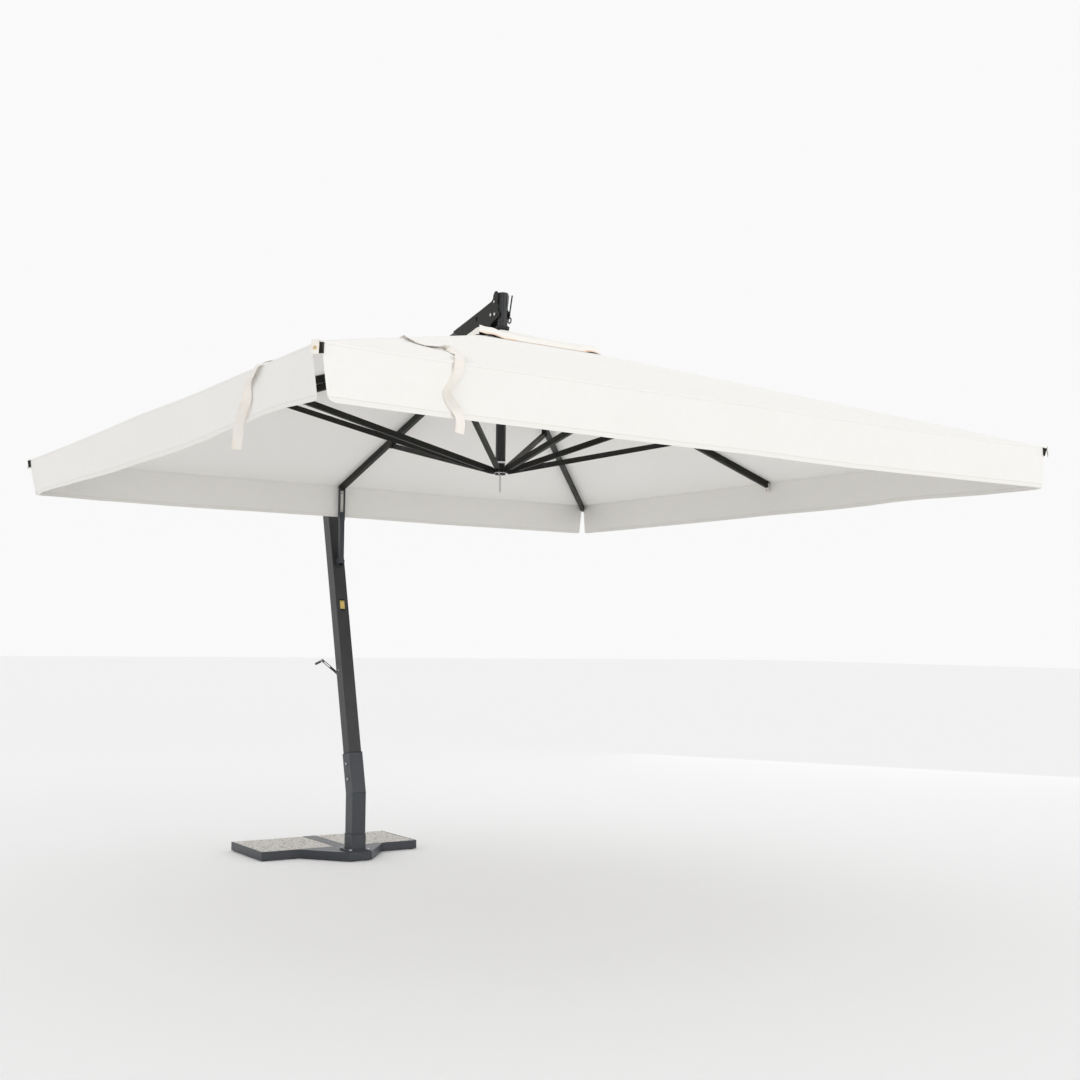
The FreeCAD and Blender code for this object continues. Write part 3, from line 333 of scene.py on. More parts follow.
# canvas: two crossing sets of threads and soft creases, with hems and hips stitched along the cut's own map
def canvasFinish(name, pale, shade, edge=None):
    cloth = Finish(name, Roughness=0.82, Sheen_Weight=0.25, Sheen_Roughness=0.5)
    cut = cloth.node("ShaderNodeUVMap", {"uv_map": "cut"})
    across, down = cloth.axes(cut)[:2]
    where = cloth.place()
    pitch = 2 * math.pi / sewing["thread"]
    warp = cloth.sum("SINE", across * pitch, 0)
    weft = cloth.sum("SINE", down * pitch, 0)
    slub = cloth.noise(cut, 260, 3)
    weave = 0.5 * warp * weft + 0.8 * slub
    cloud = cloth.noise(where, 2.2, 5, 0.55)
    fine = cloth.noise(where, 34, 3)
    tone = cloth.mix(cloud * 0.6 + 0.4 * fine, colour(*pale), colour(*shade))
    crease = cloth.noise(where, 4.0, 3, 0.45) + 0.35 * cloth.noise(where, 11.0, 3)
    if edge is None:
        past = down > slopeLength                                     # 1 on the valance
        hip = abs(down / slopeRatio - abs(across))
        hipSeam = (1 - past) * (1 - cloth.between(hip, *sewing["hipSeam"]))
        hipStitch = (1 - past) * (1 - cloth.between(abs(hip - sewing["hipLine"]), *sewing["stitch"]))
        fold = abs(abs(down - slopeLength) - sewing["foldLine"])
        foldStitch = 1 - cloth.between(fold, *sewing["stitch"])
        hemLine = slopeLength + canopy["drop"] - canopy["hem"]
        hemEdge = cloth.between(down, hemLine, hemLine + sewing["hemEdge"])
        hemStitch = 1 - cloth.between(abs(down - hemLine - sewing["hemLine"]), *sewing["stitch"])
        dashes = cloth.sum("SINE", (across + down) * (2 * math.pi / sewing["dash"]), 0) > -0.4
        stitch = cloth.sum("MAXIMUM", cloth.sum("MAXIMUM", hipStitch, foldStitch), hemStitch) * dashes
        double = cloth.sum("MAXIMUM", hipSeam, hemEdge)
        tone = cloth.mix(double * 0.16, tone, colour(0.74, 0.71, 0.66))
        tone = cloth.mix(stitch * 0.35, tone, colour(0.62, 0.59, 0.54))
        first = cloth.relief(double + 0.8 * stitch, 0.6, 0.0012)
    else:
        rim = cloth.between(edge(cloth, across, down), 0.0, 1.0)
        tone = cloth.mix(rim, tone, colour(0.82, 0.62, 0.46))
        first = cloth.relief(rim, 0.4, 0.0006)
    second = cloth.relief(crease, 0.35, 0.012, first)
    cloth.feed(cloth.shader.inputs["Base Color"], tone)
    cloth.feed(cloth.shader.inputs["Roughness"], 0.76 + 0.14 * fine)
    cloth.feed(cloth.shader.inputs["Normal"], cloth.relief(weave, 0.25, 0.0006, second))
    return cloth.material


canvas = canvasFinish("canvas", (0.90, 0.885, 0.855), (0.84, 0.825, 0.79))


# where the peach tint starts and where it is full, in metres on the cut
tint = {"capRim": (0.4210, 0.4235), "ribbonRim": (0.006, 0.017)}


# the cap's rim and the ribbons carry a peach tint along their edges
def capEdge(cloth, across, down):
    patch = cloth.noise(cloth.place(), 6.0, 2)
    return cloth.between(down, *tint["capRim"]) * cloth.between(patch, 0.30, 0.50)


def ribbonEdge(cloth, across, down):
    patch = cloth.noise(cloth.place(), 7.0, 2)
    return cloth.between(abs(across), *tint["ribbonRim"]) * cloth.between(patch, 0.48, 0.66) * 0.35


capCanvas = canvasFinish("capCanvas", (0.90, 0.88, 0.84), (0.84, 0.81, 0.76), capEdge)
ribbonCloth = canvasFinish("ribbonCloth", (0.89, 0.86, 0.81), (0.84, 0.80, 0.73), ribbonEdge)
print("finishes made")


def meshPiece(name, bm, material, body, smooth=True):
    mesh = bpy.data.meshes.new(name)
    bm.to_mesh(mesh)
    bm.free()
    for face in mesh.polygons:
        face.use_smooth = smooth
    mesh.materials.append(material)
    piece = bpy.data.objects.new(name, mesh)
    bpy.context.scene.collection.objects.link(piece)
    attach(piece, body)
    return piece


# gives a cloth its thickness for good, with crisp cut edges
def thicken(piece, thickness, offset=1.0):
    wall = piece.modifiers.new("wall", "SOLIDIFY")
    wall.thickness = thickness
    wall.offset = offset
    bpy.context.view_layer.update()
    thick = bpy.data.meshes.new_from_object(piece.evaluated_get(bpy.context.evaluated_depsgraph_get()))
    piece.modifiers.clear()
    piece.data = thick
    thick.set_sharp_from_angle(angle=math.radians(55))
    return piece


# writes each point's place on the flat cut into the cut's own map
def markCut(faces, layer, marks):
    for face in faces:
        for loop in face.loops:
            loop[layer].uv = marks[loop.vert]


def faceUp(bm):
    bm.normal_update()
    if sum(face.normal.z * face.calc_area() for face in bm.faces) < 0:
        bmesh.ops.reverse_faces(bm, faces=bm.faces[:])


def eased(share):
    share = min(1.0, max(0.0, share))
    return share * share * (3 - 2 * share)


def waver(x, y, z):
    return noise.noise(Vector((x, y, z)))


# 0 over every rib, 1 on the seam between two ribs, level there so that two panels join without a mark
def dip(k):
    k = abs(k)
    if k < seamShare:
        return math.sin(math.pi / 2 * k / seamShare)
    return math.cos(math.pi / 2 * (k - seamShare) / (1 - seamShare))


# d is how far out from the pole, k runs from -1 at one hip to 1 at the next
def roofPoint(side, d, k):
    out = Vector((math.cos(math.pi / 2 * side), math.sin(math.pi / 2 * side), 0))
    along = Vector((-out.y, out.x, 0))
    share = d / canopy["half"]
    dipped = dip(k)
    flatPlace = out * (d - canopy["pull"] * dipped * share ** 6) + along * (k * d)
    corner = Vector((canopy["half"], math.copysign(canopy["half"], k), 0))
    reach = Vector((d - corner.x, k * d - corner.y, 0))
    turn = math.atan2(abs(reach.y), abs(reach.x) + 1e-6)
    fan = math.sin(cornerFan["folds"] * turn + side * 1.7 + (0.8 if k > 0 else 0))
    fan *= math.exp(-reach.length / cornerFan["fade"])
    fan *= eased(reach.length / cornerFan["start"]) * min(1, 3 * (1 - abs(k)) * share)
    height = canopy["eave"] + canopy["rise"] * (1 - share) + canopy["proud"]
    height -= canopy["sag"] * dipped * share ** 1.4
    height += cornerFan["height"] * fan
    height += canopy["uneven"] * waver(flatPlace.x * 1.4, flatPlace.y * 1.4, 3.1) * dipped * share
    return Vector((canopy["centre"] + flatPlace.x, flatPlace.y, height)), out, along


# each side's flap, in metres: swings and lifts are side, place along it, width, and how far out or up its
# hem goes; cuts are how far a free end stands from the corner, at its top and at its hem; curls round its
# lower corner
valance = {
    "wave": 0.008, "ripple": 0.0035,
    "swings": [(3, 1.98, 0.22, -0.026), (0, -1.95, 0.25, 0.010), (2, 1.9, 0.25, -0.030),
               (1, -1.9, 0.35, 0.016), (3, -1.93, 0.16, -0.035), (0, 1.85, 0.25, 0.010)],
    "lifts": [(3, 1.62, 0.50, 0.021), (3, -0.1, 1.0, -0.015), (0, 0.3, 0.8, -0.006), (1, -1.2, 0.3, 0.008)],
    "cuts": {(3, 1): (0.056, 0.058)}, "plainCut": (0.005, 0.028),
    "curls": {(0, -1): 0.028, (3, -1): 0.035}, "plainCurl": 0.012,
    "endFrom": 0.86, "endSpan": 0.14, "cutFrom": 0.06,
}


def valancePoint(side, k, w):
    hem, out, along = roofPoint(side, canopy["half"], k)
    s = k * canopy["half"]
    topCut, hemCut = valance["cuts"].get((side, 1 if k > 0 else -1), valance["plainCut"])
    trim = (topCut + (hemCut - topCut) * w) * eased(w / valance["cutFrom"])
    trim *= eased((abs(k) - valance["endFrom"]) / valance["endSpan"])
    s -= math.copysign(trim, s)
    swing = 0.0
    for where, centre, width, reach in valance["swings"]:
        if where == side:
            swing += reach * math.exp(-((s - centre) / width) ** 2)
    swing += valance["wave"] * waver(s * 1.7, side * 7.3, 0.5) * (1 - 0.6 * abs(k) ** 6)
    ripple = valance["ripple"] * waver(s * 9.0, side * 3.1, 4.2)
    if side == 1 and s > -1.7:
        ripple *= 1 + 1.6 * eased((-s + 0.2) / 1.2)
    reach = swing * w ** 1.3 + ripple * w * w
    lift = sum(rise * math.exp(-((s - centre) / width) ** 2)
               for where, centre, width, rise in valance["lifts"] if where == side)
    fall = (canopy["drop"] - lift) * w
    z = hem.z - math.sqrt(max(1e-9, fall * fall - reach * reach * 0.8))
    middle = Vector((canopy["centre"], 0, 0))
    place = middle + out * (hem - middle).dot(out) + along * s
    place += out * (reach + 0.0008 * eased(w * 12))
    place.z = z
    return place


# a flap's free lower corner, rounded: the grid's corner square is drawn in to a quarter circle
def roundedEnd(fromEnd, fromHem, radius):
    if fromEnd >= radius or fromHem >= radius:
        return fromEnd, fromHem
    x, y = 1 - fromEnd / radius, 1 - fromHem / radius
    return radius * (1 - x * math.sqrt(1 - y * y / 2)), radius * (1 - y * math.sqrt(1 - x * x / 2))


def sidePatch(bm, side, low, high):
    rows, drops, columns = canopy["rows"], canopy["dropRows"], canopy["columns"]
    layer = bm.loops.layers.uv.get("cut") or bm.loops.layers.uv.new("cut")
    marks = {}
    grid = bmesh.ops.create_grid(bm, x_segments=columns, y_segments=rows + drops, size=0.5)
    half, hole, drop = canopy["half"], canopy["hole"], canopy["drop"]
    free, first = half - canopy["opening"], canopy["firstDrop"]
    for vert in grid["verts"]:
        k = low + (high - low) * (vert.co.x + 0.5)
        row = round((vert.co.y + 0.5) * (rows + drops))
        if row <= rows:
            d = hole + (half - canopy["lastRow"] - hole) * row / (rows - 1) if row < rows else half
            vert.co = roofPoint(side, d, k)[0]
            marks[vert] = (k * d, d * slopeRatio)
        else:
            step = row - rows
            w = first * step if step < 2 else first + (1 - first) * (step - 1) / (drops - 1)
            s = abs(k) * half
            if abs(k) > valance["endFrom"]:
                radius = valance["curls"].get((side, 1 if k > 0 else -1), valance["plainCurl"])
                fromEnd, fromHem = roundedEnd(half - s, drop * (1 - w), radius)
                s, w = half - fromEnd, 1 - fromHem / drop
            share = math.copysign(s / half, k)
            vert.co = valancePoint(side, share, w)
            marks[vert] = (math.copysign(min(s, free), k), slopeLength + drop * w)
    markCut({face for vert in grid["verts"] for face in vert.link_faces}, layer, marks)


def roofPanel(index):
    bm = bmesh.new()
    side = index // 2
    if index % 2 == 0:
        sidePatch(bm, side, -seamShare, seamShare)
    else:
        sidePatch(bm, side, seamShare, 1.0)
        sidePatch(bm, (side + 1) % 4, -1.0, -seamShare)
        bmesh.ops.remove_doubles(bm, verts=bm.verts, dist=0.0004)
    faceUp(bm)
    name = ribNames[index]
    piece = meshPiece("roof_" + name, bm, canvas, "rib_" + name)
    thicken(piece, canopy["cloth"])
    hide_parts("canopy_" + name)
    return piece


def foldWith(piece):
    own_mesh(piece)


for index in range(8):
    foldWith(roofPanel(index))
print("roof panels sewn")

# the vent cap, in metres: round at its hole, square from roundTo on, and never nearer the roof than clear
cap = {
    "half": 0.375, "edge": 3.012, "top": 3.140, "hole": 0.034, "hem": 0.036, "hemRows": 4,
    "wave": 0.034, "flutter": 0.012, "slack": 0.008, "frontLift": 0.012, "steep": 1.12,
    "roundTo": 0.10, "clear": 0.003, "rows": 34, "columns": 56, "thickness": 0.0012,
}


def capPoint(side, d, k, hang):
    out = Vector((math.cos(math.pi / 2 * side), math.sin(math.pi / 2 * side), 0))
    along = Vector((-out.y, out.x, 0))
    square = out * d + along * (k * d)
    circle = square.normalized() * d
    share = eased((d - cap["hole"]) / cap["roundTo"])
    place = circle.lerp(square, share)
    far = d / cap["half"]
    loose = far ** 3 * (cap["wave"] * waver(place.x * 5.0, place.y * 5.0, 1.3)
                        + cap["flutter"] * waver(place.x * 12, place.y * 12, 6.0))
    rise = (cap["top"] - cap["edge"]) * (1 - far) ** cap["steep"]
    slack = -cap["slack"] * math.sin(math.pi * far) * (1 - abs(k) ** 2)
    front = cap["frontLift"] * far ** 4 if side == 0 else 0.0
    height = cap["edge"] + rise + loose + slack + front
    spread = hang * (0.35 + 0.5 * waver(place.x * 6, place.y * 6, 9.0))
    place += (out + along * k * (abs(k) ** 6)) * spread
    roof = canopy["eave"] + canopy["rise"] * (1 - max(abs(place.x), abs(place.y)) / canopy["half"])
    return Vector((canopy["centre"] + place.x, place.y, max(height - hang, roof + cap["clear"])))


def ventCap():
    bm = bmesh.new()
    layer = bm.loops.layers.uv.new("cut")
    marks = {}
    allRows = cap["rows"] + cap["hemRows"]
    for side in range(4):
        grid = bmesh.ops.create_grid(bm, x_segments=cap["columns"], y_segments=allRows, size=0.5)
        for vert in grid["verts"]:
            k = 2 * vert.co.x
            row = round((vert.co.y + 0.5) * allRows)
            d = cap["hole"] + (cap["half"] - cap["hole"]) * min(1, row / cap["rows"])
            hang = cap["hem"] * max(0, row - cap["rows"]) / cap["hemRows"]
            vert.co = capPoint(side, d, k, hang)
            marks[vert] = (k * d, d * 1.05 + hang)
    markCut(bm.faces, layer, marks)
    bmesh.ops.remove_doubles(bm, verts=bm.verts, dist=0.0006)
    bmesh.ops.recalc_face_normals(bm, faces=bm.faces[:])
    faceUp(bm)
    piece = meshPiece("wind_vent_cap", bm, capCanvas, "mast")
    thicken(piece, cap["thickness"])
    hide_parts("vent_cap")


ventCap()

ribbon = {"width": 0.038, "thickness": 0.0010, "steps": 90, "across": 6, "cup": 0.0012, "twist": 0.0015}


# how high the roof's cloth lies at a place
def roofHeight(x, y):
    return canopy["eave"] + canopy["rise"] * (1 - max(abs(x - canopy["centre"]), abs(y)) / canopy["half"])


# a ribbon's place on the roof, lifted off the cloth by a little
def laid(x, y, lift=0.004):
    return (x, y, roofHeight(x, y) + lift)


# two tie ribbons thrown over the roof: each point is a place in metres, then the way the ribbon's width lies
frontRibbon = [
    (laid(2.80, -1.225), (0.3, -0.6, 0)), (laid(2.95, -1.262), (0.5, -0.9, 0.1)),
    (laid(3.15, -1.348, 0.010), (0.5, -0.9, 0)), (laid(3.278, -1.344), (0.45, -0.9, 0)),
    (laid(3.33, -1.285, 0.012), (0.8, 0.6, 0)), (laid(3.42, -1.30), (0.3, 0.95, 0)),
    (laid(3.52, -1.34, 0.008), (0.3, 0.95, 0)), (laid(3.62, -1.40, 0.012), (0.25, 1, 0)),
    ((3.704, -1.448, 2.448), (0.15, 1, 0)), ((3.710, -1.462, 2.400), (0.5, 0.8, 0)),
    ((3.718, -1.490, 2.362), (0.9, 0.35, 0)), ((3.720, -1.508, 2.328), (0.9, 0.4, 0)),
    ((3.716, -1.485, 2.290), (0.6, 0.8, 0)), ((3.710, -1.455, 2.262), (0.1, 1, 0)),
    ((3.712, -1.446, 2.225), (0, 1, 0)), ((3.715, -1.452, 2.185), (0, 1, 0)),
]
sideRibbon = [
    (laid(3.12, -1.60), (0.9, -0.2, 0)), (laid(3.16, -1.75), (0.95, -0.1, 0)),
    (laid(3.18, -1.90, 0.006), (0.95, -0.1, 0)), ((3.185, -2.004, 2.455), (1, 0, 0)),
    ((3.12, -2.012, 2.415), (1, -0.2, 0)),
    ((3.085, -2.014, 2.380), (0.9, 0.4, 0)), ((3.092, -2.020, 2.330), (0.7, 0.6, 0)),
    ((3.060, -2.024, 2.290), (0.8, 0.5, 0)), ((3.020, -2.020, 2.250), (0.6, 0.8, 0)),
    ((2.998, -2.016, 2.205), (0.55, 0.83, 0)), ((2.985, -2.016, 2.155), (0.55, 0.83, 0)),
]


# a smooth line through the points, from its start at 0 to its end at 1
def alongRoute(points, share):
    spot = share * (len(points) - 1)
    first = min(int(spot), len(points) - 2)
    t = spot - first
    a = points[max(first - 1, 0)]
    b, c = points[first], points[first + 1]
    e = points[min(first + 2, len(points) - 1)]
    return 0.5 * ((2 * b) + (c - a) * t + (2 * a - 5 * b + 4 * c - e) * t * t
                  + (3 * b - a - 3 * c + e) * t ** 3)


def tieRibbon(name, route, index):
    places = [Vector(place) for place, _ in route]
    widths = [Vector(way).normalized() for _, way in route]
    bm = bmesh.new()
    layer = bm.loops.layers.uv.new("cut")
    marks = {}
    grid = bmesh.ops.create_grid(bm, x_segments=ribbon["across"], y_segments=ribbon["steps"], size=0.5)
    spots = [alongRoute(places, i / ribbon["steps"]) for i in range(ribbon["steps"] + 1)]
    length = sum((b - a).length for a, b in zip(spots, spots[1:]))
    for vert in grid["verts"]:
        share = vert.co.y + 0.5
        off = vert.co.x * ribbon["width"]
        way = alongRoute(widths, share).normalized()
        ahead = alongRoute(places, min(1, share + 0.01)) - alongRoute(places, max(0, share - 0.01))
        ahead.normalize()
        way = (way - ahead * way.dot(ahead)).normalized()
        up = way.cross(ahead)
        cup = ribbon["cup"] * math.cos(math.pi * vert.co.x)
        cup += ribbon["twist"] * waver(share * 9, vert.co.x, index)
        vert.co = alongRoute(places, share) + way * off + up * cup
        marks[vert] = (off, share * length)
    markCut(bm.faces, layer, marks)
    piece = meshPiece(name, bm, ribbonCloth, "rib_" + ribNames[index])
    thicken(piece, ribbon["thickness"], 0)
    foldWith(piece)


tieRibbon("tie_ribbon_front", frontRibbon, 7)
tieRibbon("tie_ribbon_side", sideRibbon, 7)
print("ribbons laid")

# every shown CAD part keeps its shape and takes a worked finish
slotFinish = {
    "frame_aluminium": aluminiumCoat, "frame_steel": steelCoat, "paving": gravel,
    "black_plastic": blackPlastic, "pads": rubber, "bright_chrome": chrome, "zinc": zinc,
    "name_plate": giltPlate,
}
slotOf = {row["node"]: row["material_slot"] for row in frame["record"]["subparts"]}
for name, part in frame["nodes"].items():
    finish = slotFinish.get(slotOf.get(name))
    if name.startswith(("rib_", "strut_")) or name in ("crown", "lower_hub", "head_cheeks"):
        finish = ribCoat
    if name == "pole":
        finish = poleCoat
    if finish:
        part.data.materials.clear()
        part.data.materials.append(finish)
print("finishes laid on")


# small fittings: a ring turned about an axis, as a bead of round section
def ringInto(bm, centre, axis, radius, bead, steps=40, section=12):
    axis = Vector(axis).normalized()
    side = axis.orthogonal().normalized()
    circle = bmesh.ops.create_circle(bm, segments=section, radius=bead)["verts"]
    frameTurn = Matrix((side, axis, side.cross(axis))).transposed().to_4x4()
    bmesh.ops.transform(bm, verts=circle,
                        matrix=Matrix.Translation(Vector(centre) + side * radius) @ frameTurn)
    edges = list({edge for vert in circle for edge in vert.link_edges})
    bmesh.ops.spin(bm, geom=circle + edges, cent=centre, axis=axis, angle=math.tau, steps=steps,
                   use_merge=True)


# a bar between two places with softened edges
def barInto(bm, start, end, width, height, up, soft):
    start, end, up = Vector(start), Vector(end), Vector(up)
    ahead = (end - start).normalized()
    across = up.cross(ahead).normalized()
    made = bmesh.ops.create_cube(bm, size=1.0)["verts"]
    turn = Matrix((ahead, across, ahead.cross(across))).transposed().to_4x4()
    grow = Matrix.Diagonal(((end - start).length, width, height, 1))
    bmesh.ops.transform(bm, verts=made, matrix=Matrix.Translation((start + end) / 2) @ turn @ grow)
    edges = list({edge for vert in made for edge in vert.link_edges})
    bmesh.ops.bevel(bm, geom=edges, offset=soft, offset_type="OFFSET", affect="EDGES", segments=3,
                    profile=0.5, material=-1)


# a domed rivet or bolt head, round about its axis
def domeInto(bm, centre, axis, radius, height):
    made = bmesh.ops.create_uvsphere(bm, u_segments=20, v_segments=12, radius=1)["verts"]
    turn = Vector((0, 0, 1)).rotation_difference(Vector(axis)).to_matrix().to_4x4()
    bmesh.ops.transform(bm, verts=made, matrix=Matrix.Translation(centre) @ turn
                        @ Matrix.Diagonal((radius, radius, height, 1)))


def fitting(name, bm, material, body):
    bmesh.ops.remove_doubles(bm, verts=bm.verts, dist=0.00001)
    bmesh.ops.recalc_face_normals(bm, faces=bm.faces[:])
    piece = meshPiece(name, bm, material, body)
    piece.data.set_sharp_from_angle(angle=math.radians(40))
    return piece


# heights are above or below the eave, and pocketLength is by rib, for the one that shows longer
tab = {
    "width": 0.028, "length": 0.052, "thickness": 0.0018, "aside": 0.012, "proud": 0.012, "above": 0.003,
    "eyelet": 0.0050, "bead": 0.0018, "drop": 0.030, "eyeletProud": 0.0035,
    "pocketWidth": 0.034, "pocketIn": 0.016, "pocketBelow": 0.006, "pocketLength": {4: 0.196},
    "plainPocket": 0.060, "rivet": 0.0042, "rivetHead": 0.0022, "rivetDrop": 0.046, "rivetProud": 0.002,
}


# a little strip of doubled cloth hanging flat against something: place is its middle at the top
def clothStrip(name, place, out, width, length, index, curl=0.004):
    out = Vector(out).normalized()
    along = Vector((0, 0, 1)).cross(out)
    bm = bmesh.new()
    layer = bm.loops.layers.uv.new("cut")
    marks = {}
    grid = bmesh.ops.create_grid(bm, x_segments=10, y_segments=18, size=0.5)
    for vert in grid["verts"]:
        u, v = vert.co.x, 0.5 - vert.co.y
        off = u * width
        belly = curl * v * v * (1 + 0.5 * math.cos(3 * u)) + 0.0006 * math.sin(9 * v + index)
        vert.co = Vector(place) + along * off + out * belly + Vector((0, 0, -v * length))
        marks[vert] = (off, v * length)
    markCut(bm.faces, layer, marks)
    piece = meshPiece(name, bm, ribbonCloth, "rib_" + ribNames[index])
    thicken(piece, tab["thickness"], 0)
    foldWith(piece)


# corner tabs with brass eyelets, and the pockets that take the middle ribs' ends
def canopyTabs():
    for index in range(8):
        angle = math.radians(45 * index)
        out = Vector((math.cos(angle), math.sin(angle), 0))
        along = Vector((-out.y, out.x, 0))
        if index % 2:
            place = Vector((canopy["centre"], 0, canopy["eave"] + tab["above"])) + out * (
                canopy["half"] * math.sqrt(2) + tab["proud"]) - along * tab["aside"]
            clothStrip("corner_tab_" + ribNames[index], place, out, tab["width"], tab["length"], index)
            bm = bmesh.new()
            spot = place + out * tab["eyeletProud"] - Vector((0, 0, tab["drop"]))
            ringInto(bm, spot, out, tab["eyelet"], tab["bead"])
            piece = fitting("eyelet_" + ribNames[index], bm, brass, "rib_" + ribNames[index])
            foldWith(piece)
        else:
            place = Vector((canopy["centre"], 0, canopy["eave"] - tab["pocketBelow"])) + out * (
                canopy["half"] - tab["pocketIn"])
            length = tab["pocketLength"].get(index, tab["plainPocket"])
            clothStrip("rib_pocket_" + ribNames[index], place, -out, tab["pocketWidth"], length, index, 0.001)
            bm = bmesh.new()
            spot = place - out * tab["rivetProud"] - Vector((0, 0, tab["rivetDrop"]))
            domeInto(bm, spot, -out, tab["rivet"], tab["rivetHead"])
            piece = fitting("pocket_rivet_" + ribNames[index], bm, rivetBrown, "rib_" + ribNames[index])
            foldWith(piece)


canopyTabs()

# rings on the pole and the hub, and the chain under it
hub = {
    "poleRing": 0.0335, "poleRingHeight": 3.146, "poleBeads": ((0, 0.0055), (-0.008, 0.0045)),
    "coupling": 2.408, "couplingLevels": (0, -0.006), "couplingRing": (0.0262, 0.0032),      # radius, bead
    "brightHeight": 2.3485, "brightRing": (0.0292, 0.0022),
    "bolts": 4, "boltHeight": 2.3425, "boltCircle": 0.0295, "boltHead": (0.0046, 0.0036),
    "chainTop": 2.338, "links": 8, "pitch": 0.0118, "wire": 0.0016, "linkWidth": 0.0044,
    "linkStretch": 0.0032, "linkTurn": 35,
}


# one oval chain link, its flat turned by a quarter on every second one
def linkInto(bm, centre, quarter):
    before = set(bm.verts)
    ringInto(bm, (0, 0, 0), (0, 1, 0), hub["linkWidth"], hub["wire"], 16, 8)
    made = [vert for vert in bm.verts if vert not in before]
    for vert in made:
        vert.co.z += math.copysign(hub["linkStretch"], vert.co.z) if abs(vert.co.z) > 0.0004 else 0
    bmesh.ops.transform(bm, verts=made, matrix=Matrix.Translation(centre)
                        @ Matrix.Rotation(math.radians(hub["linkTurn"] + 90 * quarter), 4, "Z"))


def hubFittings():
    x = canopy["centre"]
    bm = bmesh.new()
    for level, bead in hub["poleBeads"]:
        ringInto(bm, (x, 0, hub["poleRingHeight"] + level), (0, 0, 1), hub["poleRing"], bead, 48)
    fitting("pole_ring", bm, rubber, "mast")
    bm = bmesh.new()
    for level in hub["couplingLevels"]:
        ringInto(bm, (x, 0, hub["coupling"] + level), (0, 0, 1), *hub["couplingRing"], 48)
    ringInto(bm, (x, 0, hub["brightHeight"]), (0, 0, 1), *hub["brightRing"], 48)
    for number in range(hub["bolts"]):
        angle, far = math.radians(45 + 90 * number), hub["boltCircle"]
        domeInto(bm, (x + far * math.cos(angle), far * math.sin(angle), hub["boltHeight"]),
                 (math.cos(angle), math.sin(angle), 0), *hub["boltHead"])
    fitting("hub_brightwork", bm, chrome, "lower_hub")
    bm = bmesh.new()
    for number in range(hub["links"]):
        centre = Vector((x, 0, hub["chainTop"] - hub["pitch"] * (number + 0.55)))
        linkInto(bm, centre, number % 2)
    chain = fitting("pull_chain", bm, zinc, "lower_hub")
    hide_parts("hub_chain")


hubFittings()

# the weld round the sleeve's bend and the dark seal where the mast enters it
post = {
    "bend": 0.432, "lean": math.radians(13.4), "sleeve": 0.048, "mast": 0.0435, "top": 0.255, "weld": 0.0035,
    "seal": 0.0048, "sealProud": 0.0022, "sealAbove": 0.003, "soft": 0.0012, "lap": 0.45,
}


def squareRing(bm, middle, ahead, half, bar, soft):
    ahead = Vector(ahead).normalized()
    side = Vector((0, 1, 0))
    up = ahead.cross(side)
    corners = [Vector(middle) + ahead * (a * half) + side * (b * half)
               for a, b in ((1, 1), (-1, 1), (-1, -1), (1, -1))]
    for first, second in zip(corners, corners[1:] + corners[:1]):
        stretch = (second - first).normalized() * bar * post["lap"]
        barInto(bm, first - stretch, second + stretch, bar, bar, up, soft)


def postFittings():
    half = post["lean"] / 2
    bm = bmesh.new()
    squareRing(bm, (0, 0, post["bend"]), (math.cos(half), 0, math.sin(half)), post["sleeve"], post["weld"],
               post["soft"])
    fitting("bend_weld", bm, steelCoat, "mast")
    bm = bmesh.new()
    upMast = Vector((-math.sin(post["lean"]), 0, math.cos(post["lean"])))
    middle = Vector((0, 0, post["bend"])) + upMast * (post["top"] + post["sealAbove"])
    squareRing(bm, middle, (math.cos(post["lean"]), 0, math.sin(post["lean"])),
               post["mast"] + post["sealProud"], post["seal"], post["soft"])
    fitting("sleeve_seal", bm, rubber, "mast")


postFittings()
print("fittings made")

# a plain pale floor and soft studio light
studio = {
    "floor": 160.0, "floorTone": (0.88, 0.88, 0.88), "sky": (1.0, 1.0, 1.0), "skyStrength": 0.95,
    "lights": [((-6.5, -5.0, 4.0), 6.0, 12), ((-3.0, 8.0, 3.0), 6.0, 20)],
    "sun": ((12.0, 1.5, 3.6), 0.9, 0.72),                     # where it shines from, spread, strength
    "glow": ((0.6, 0.3, 0.03), 4.0, 2.5),                     # soft light off the ground
    "aim": (1.5, 0.0, 1.8),
}


def studioFloor():
    bm = bmesh.new()
    bmesh.ops.create_grid(bm, x_segments=2, y_segments=2, size=studio["floor"] / 2)
    mesh = bpy.data.meshes.new("floor")
    bm.to_mesh(mesh)
    bm.free()
    paint = Finish("floorPaint", Roughness=0.9, Base_Color=colour(*studio["floorTone"]))
    mesh.materials.append(paint.material)
    floor = bpy.data.objects.new("floor", mesh)
    bpy.context.scene.collection.objects.link(floor)


def aimFrom(place):
    return (Vector(studio["aim"]) - Vector(place)).to_track_quat("-Z", "Y").to_euler()


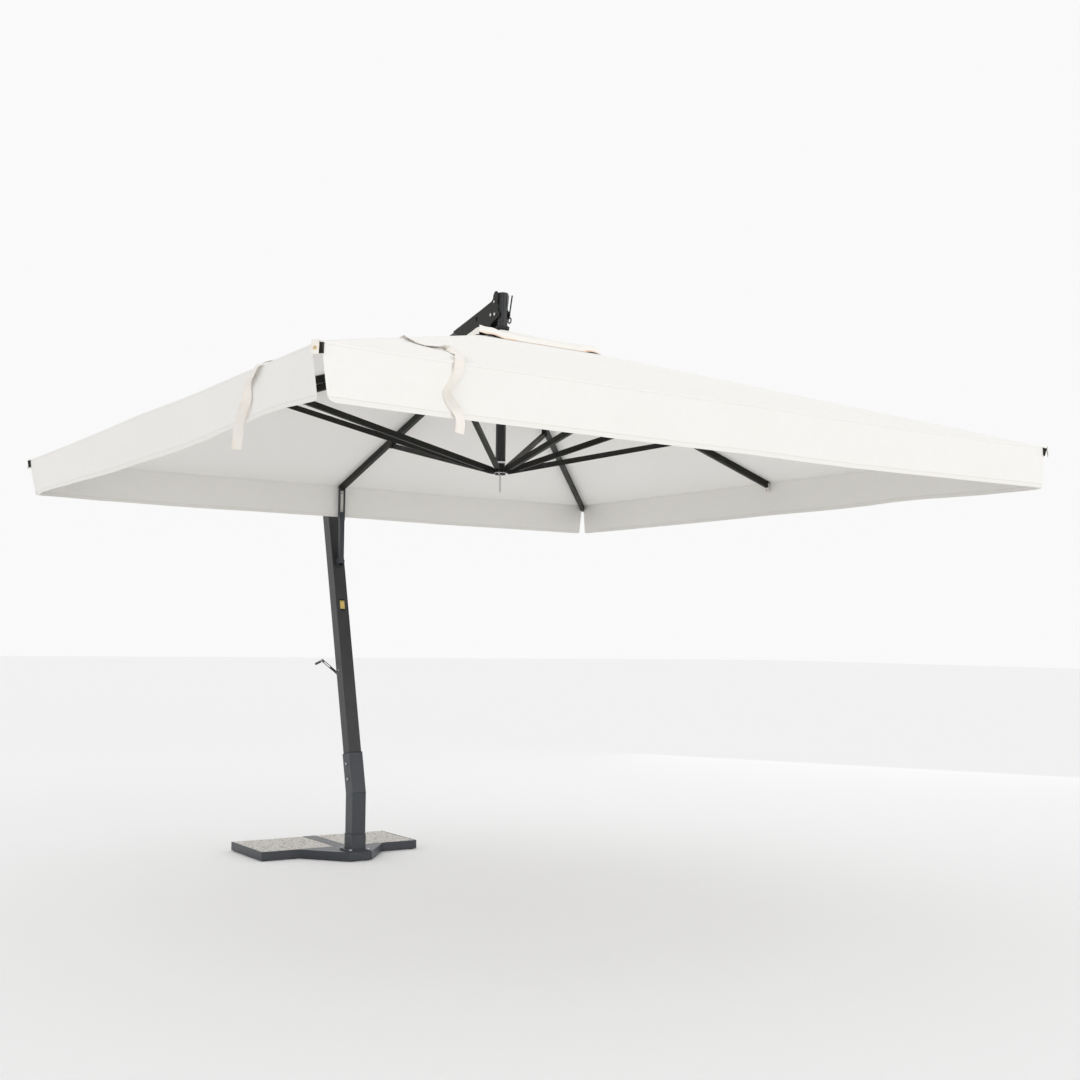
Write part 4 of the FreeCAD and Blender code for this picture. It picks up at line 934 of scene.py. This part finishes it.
def standLamp(name, kind, place, turn, **settings):
    lamp = bpy.data.lights.new(name, kind)
    for key, value in settings.items():
        setattr(lamp, key, value)
    holder = bpy.data.objects.new(name, lamp)
    holder.location = place
    holder.rotation_euler = turn
    bpy.context.scene.collection.objects.link(holder)
    return holder


def studioLight():
    world = bpy.data.worlds.new("studio")
    world.use_nodes = True
    sky = world.node_tree.nodes["Background"]
    sky.inputs["Color"].default_value = colour(*studio["sky"])
    sky.inputs["Strength"].default_value = studio["skyStrength"]
    bpy.context.scene.world = world
    for number, (place, size, watts) in enumerate(studio["lights"]):
        standLamp("softbox" + str(number), "AREA", place, aimFrom(place), size=size, energy=watts)
    place, spread, strength = studio["sun"]
    standLamp("broadLight", "SUN", place, aimFrom(place), angle=spread, energy=strength)
    place, size, watts = studio["glow"]
    glow = standLamp("groundGlow", "AREA", place, (math.pi, 0, 0), size=size, energy=watts)
    glow.visible_camera = False


# where the eye stands and how it is turned, in metres and radians
eye = {"place": (7.96947, -3.95707, 1.43572), "yaw": 2.5479, "pitch": 0.01503, "roll": 0.01438,
       "sensor": 36, "focal": 1356.9 / 1080 * 36, "rise": 0.0741, "sees": 200}


def standCamera():
    yaw, pitch, roll = eye["yaw"], eye["pitch"], eye["roll"]
    ahead = Vector((math.cos(yaw) * math.cos(pitch), math.sin(yaw) * math.cos(pitch), math.sin(pitch)))
    level = Vector((math.sin(yaw), -math.cos(yaw), 0))
    right = level * math.cos(roll) + level.cross(ahead) * math.sin(roll)
    up = right.cross(ahead)
    lens = bpy.data.cameras.new("camera")
    lens.lens = eye["focal"]
    lens.sensor_width = eye["sensor"]
    lens.shift_y = eye["rise"]
    lens.clip_end = eye["sees"]
    camera = bpy.data.objects.new("camera", lens)
    turn = Matrix((right, up, -ahead)).transposed().to_4x4()
    camera.matrix_world = Matrix.Translation(eye["place"]) @ turn
    bpy.context.scene.collection.objects.link(camera)
    bpy.context.scene.camera = camera


studioFloor()
studioLight()
standCamera()
bpy.context.scene.view_settings.view_transform = "Standard"
print("studio set")
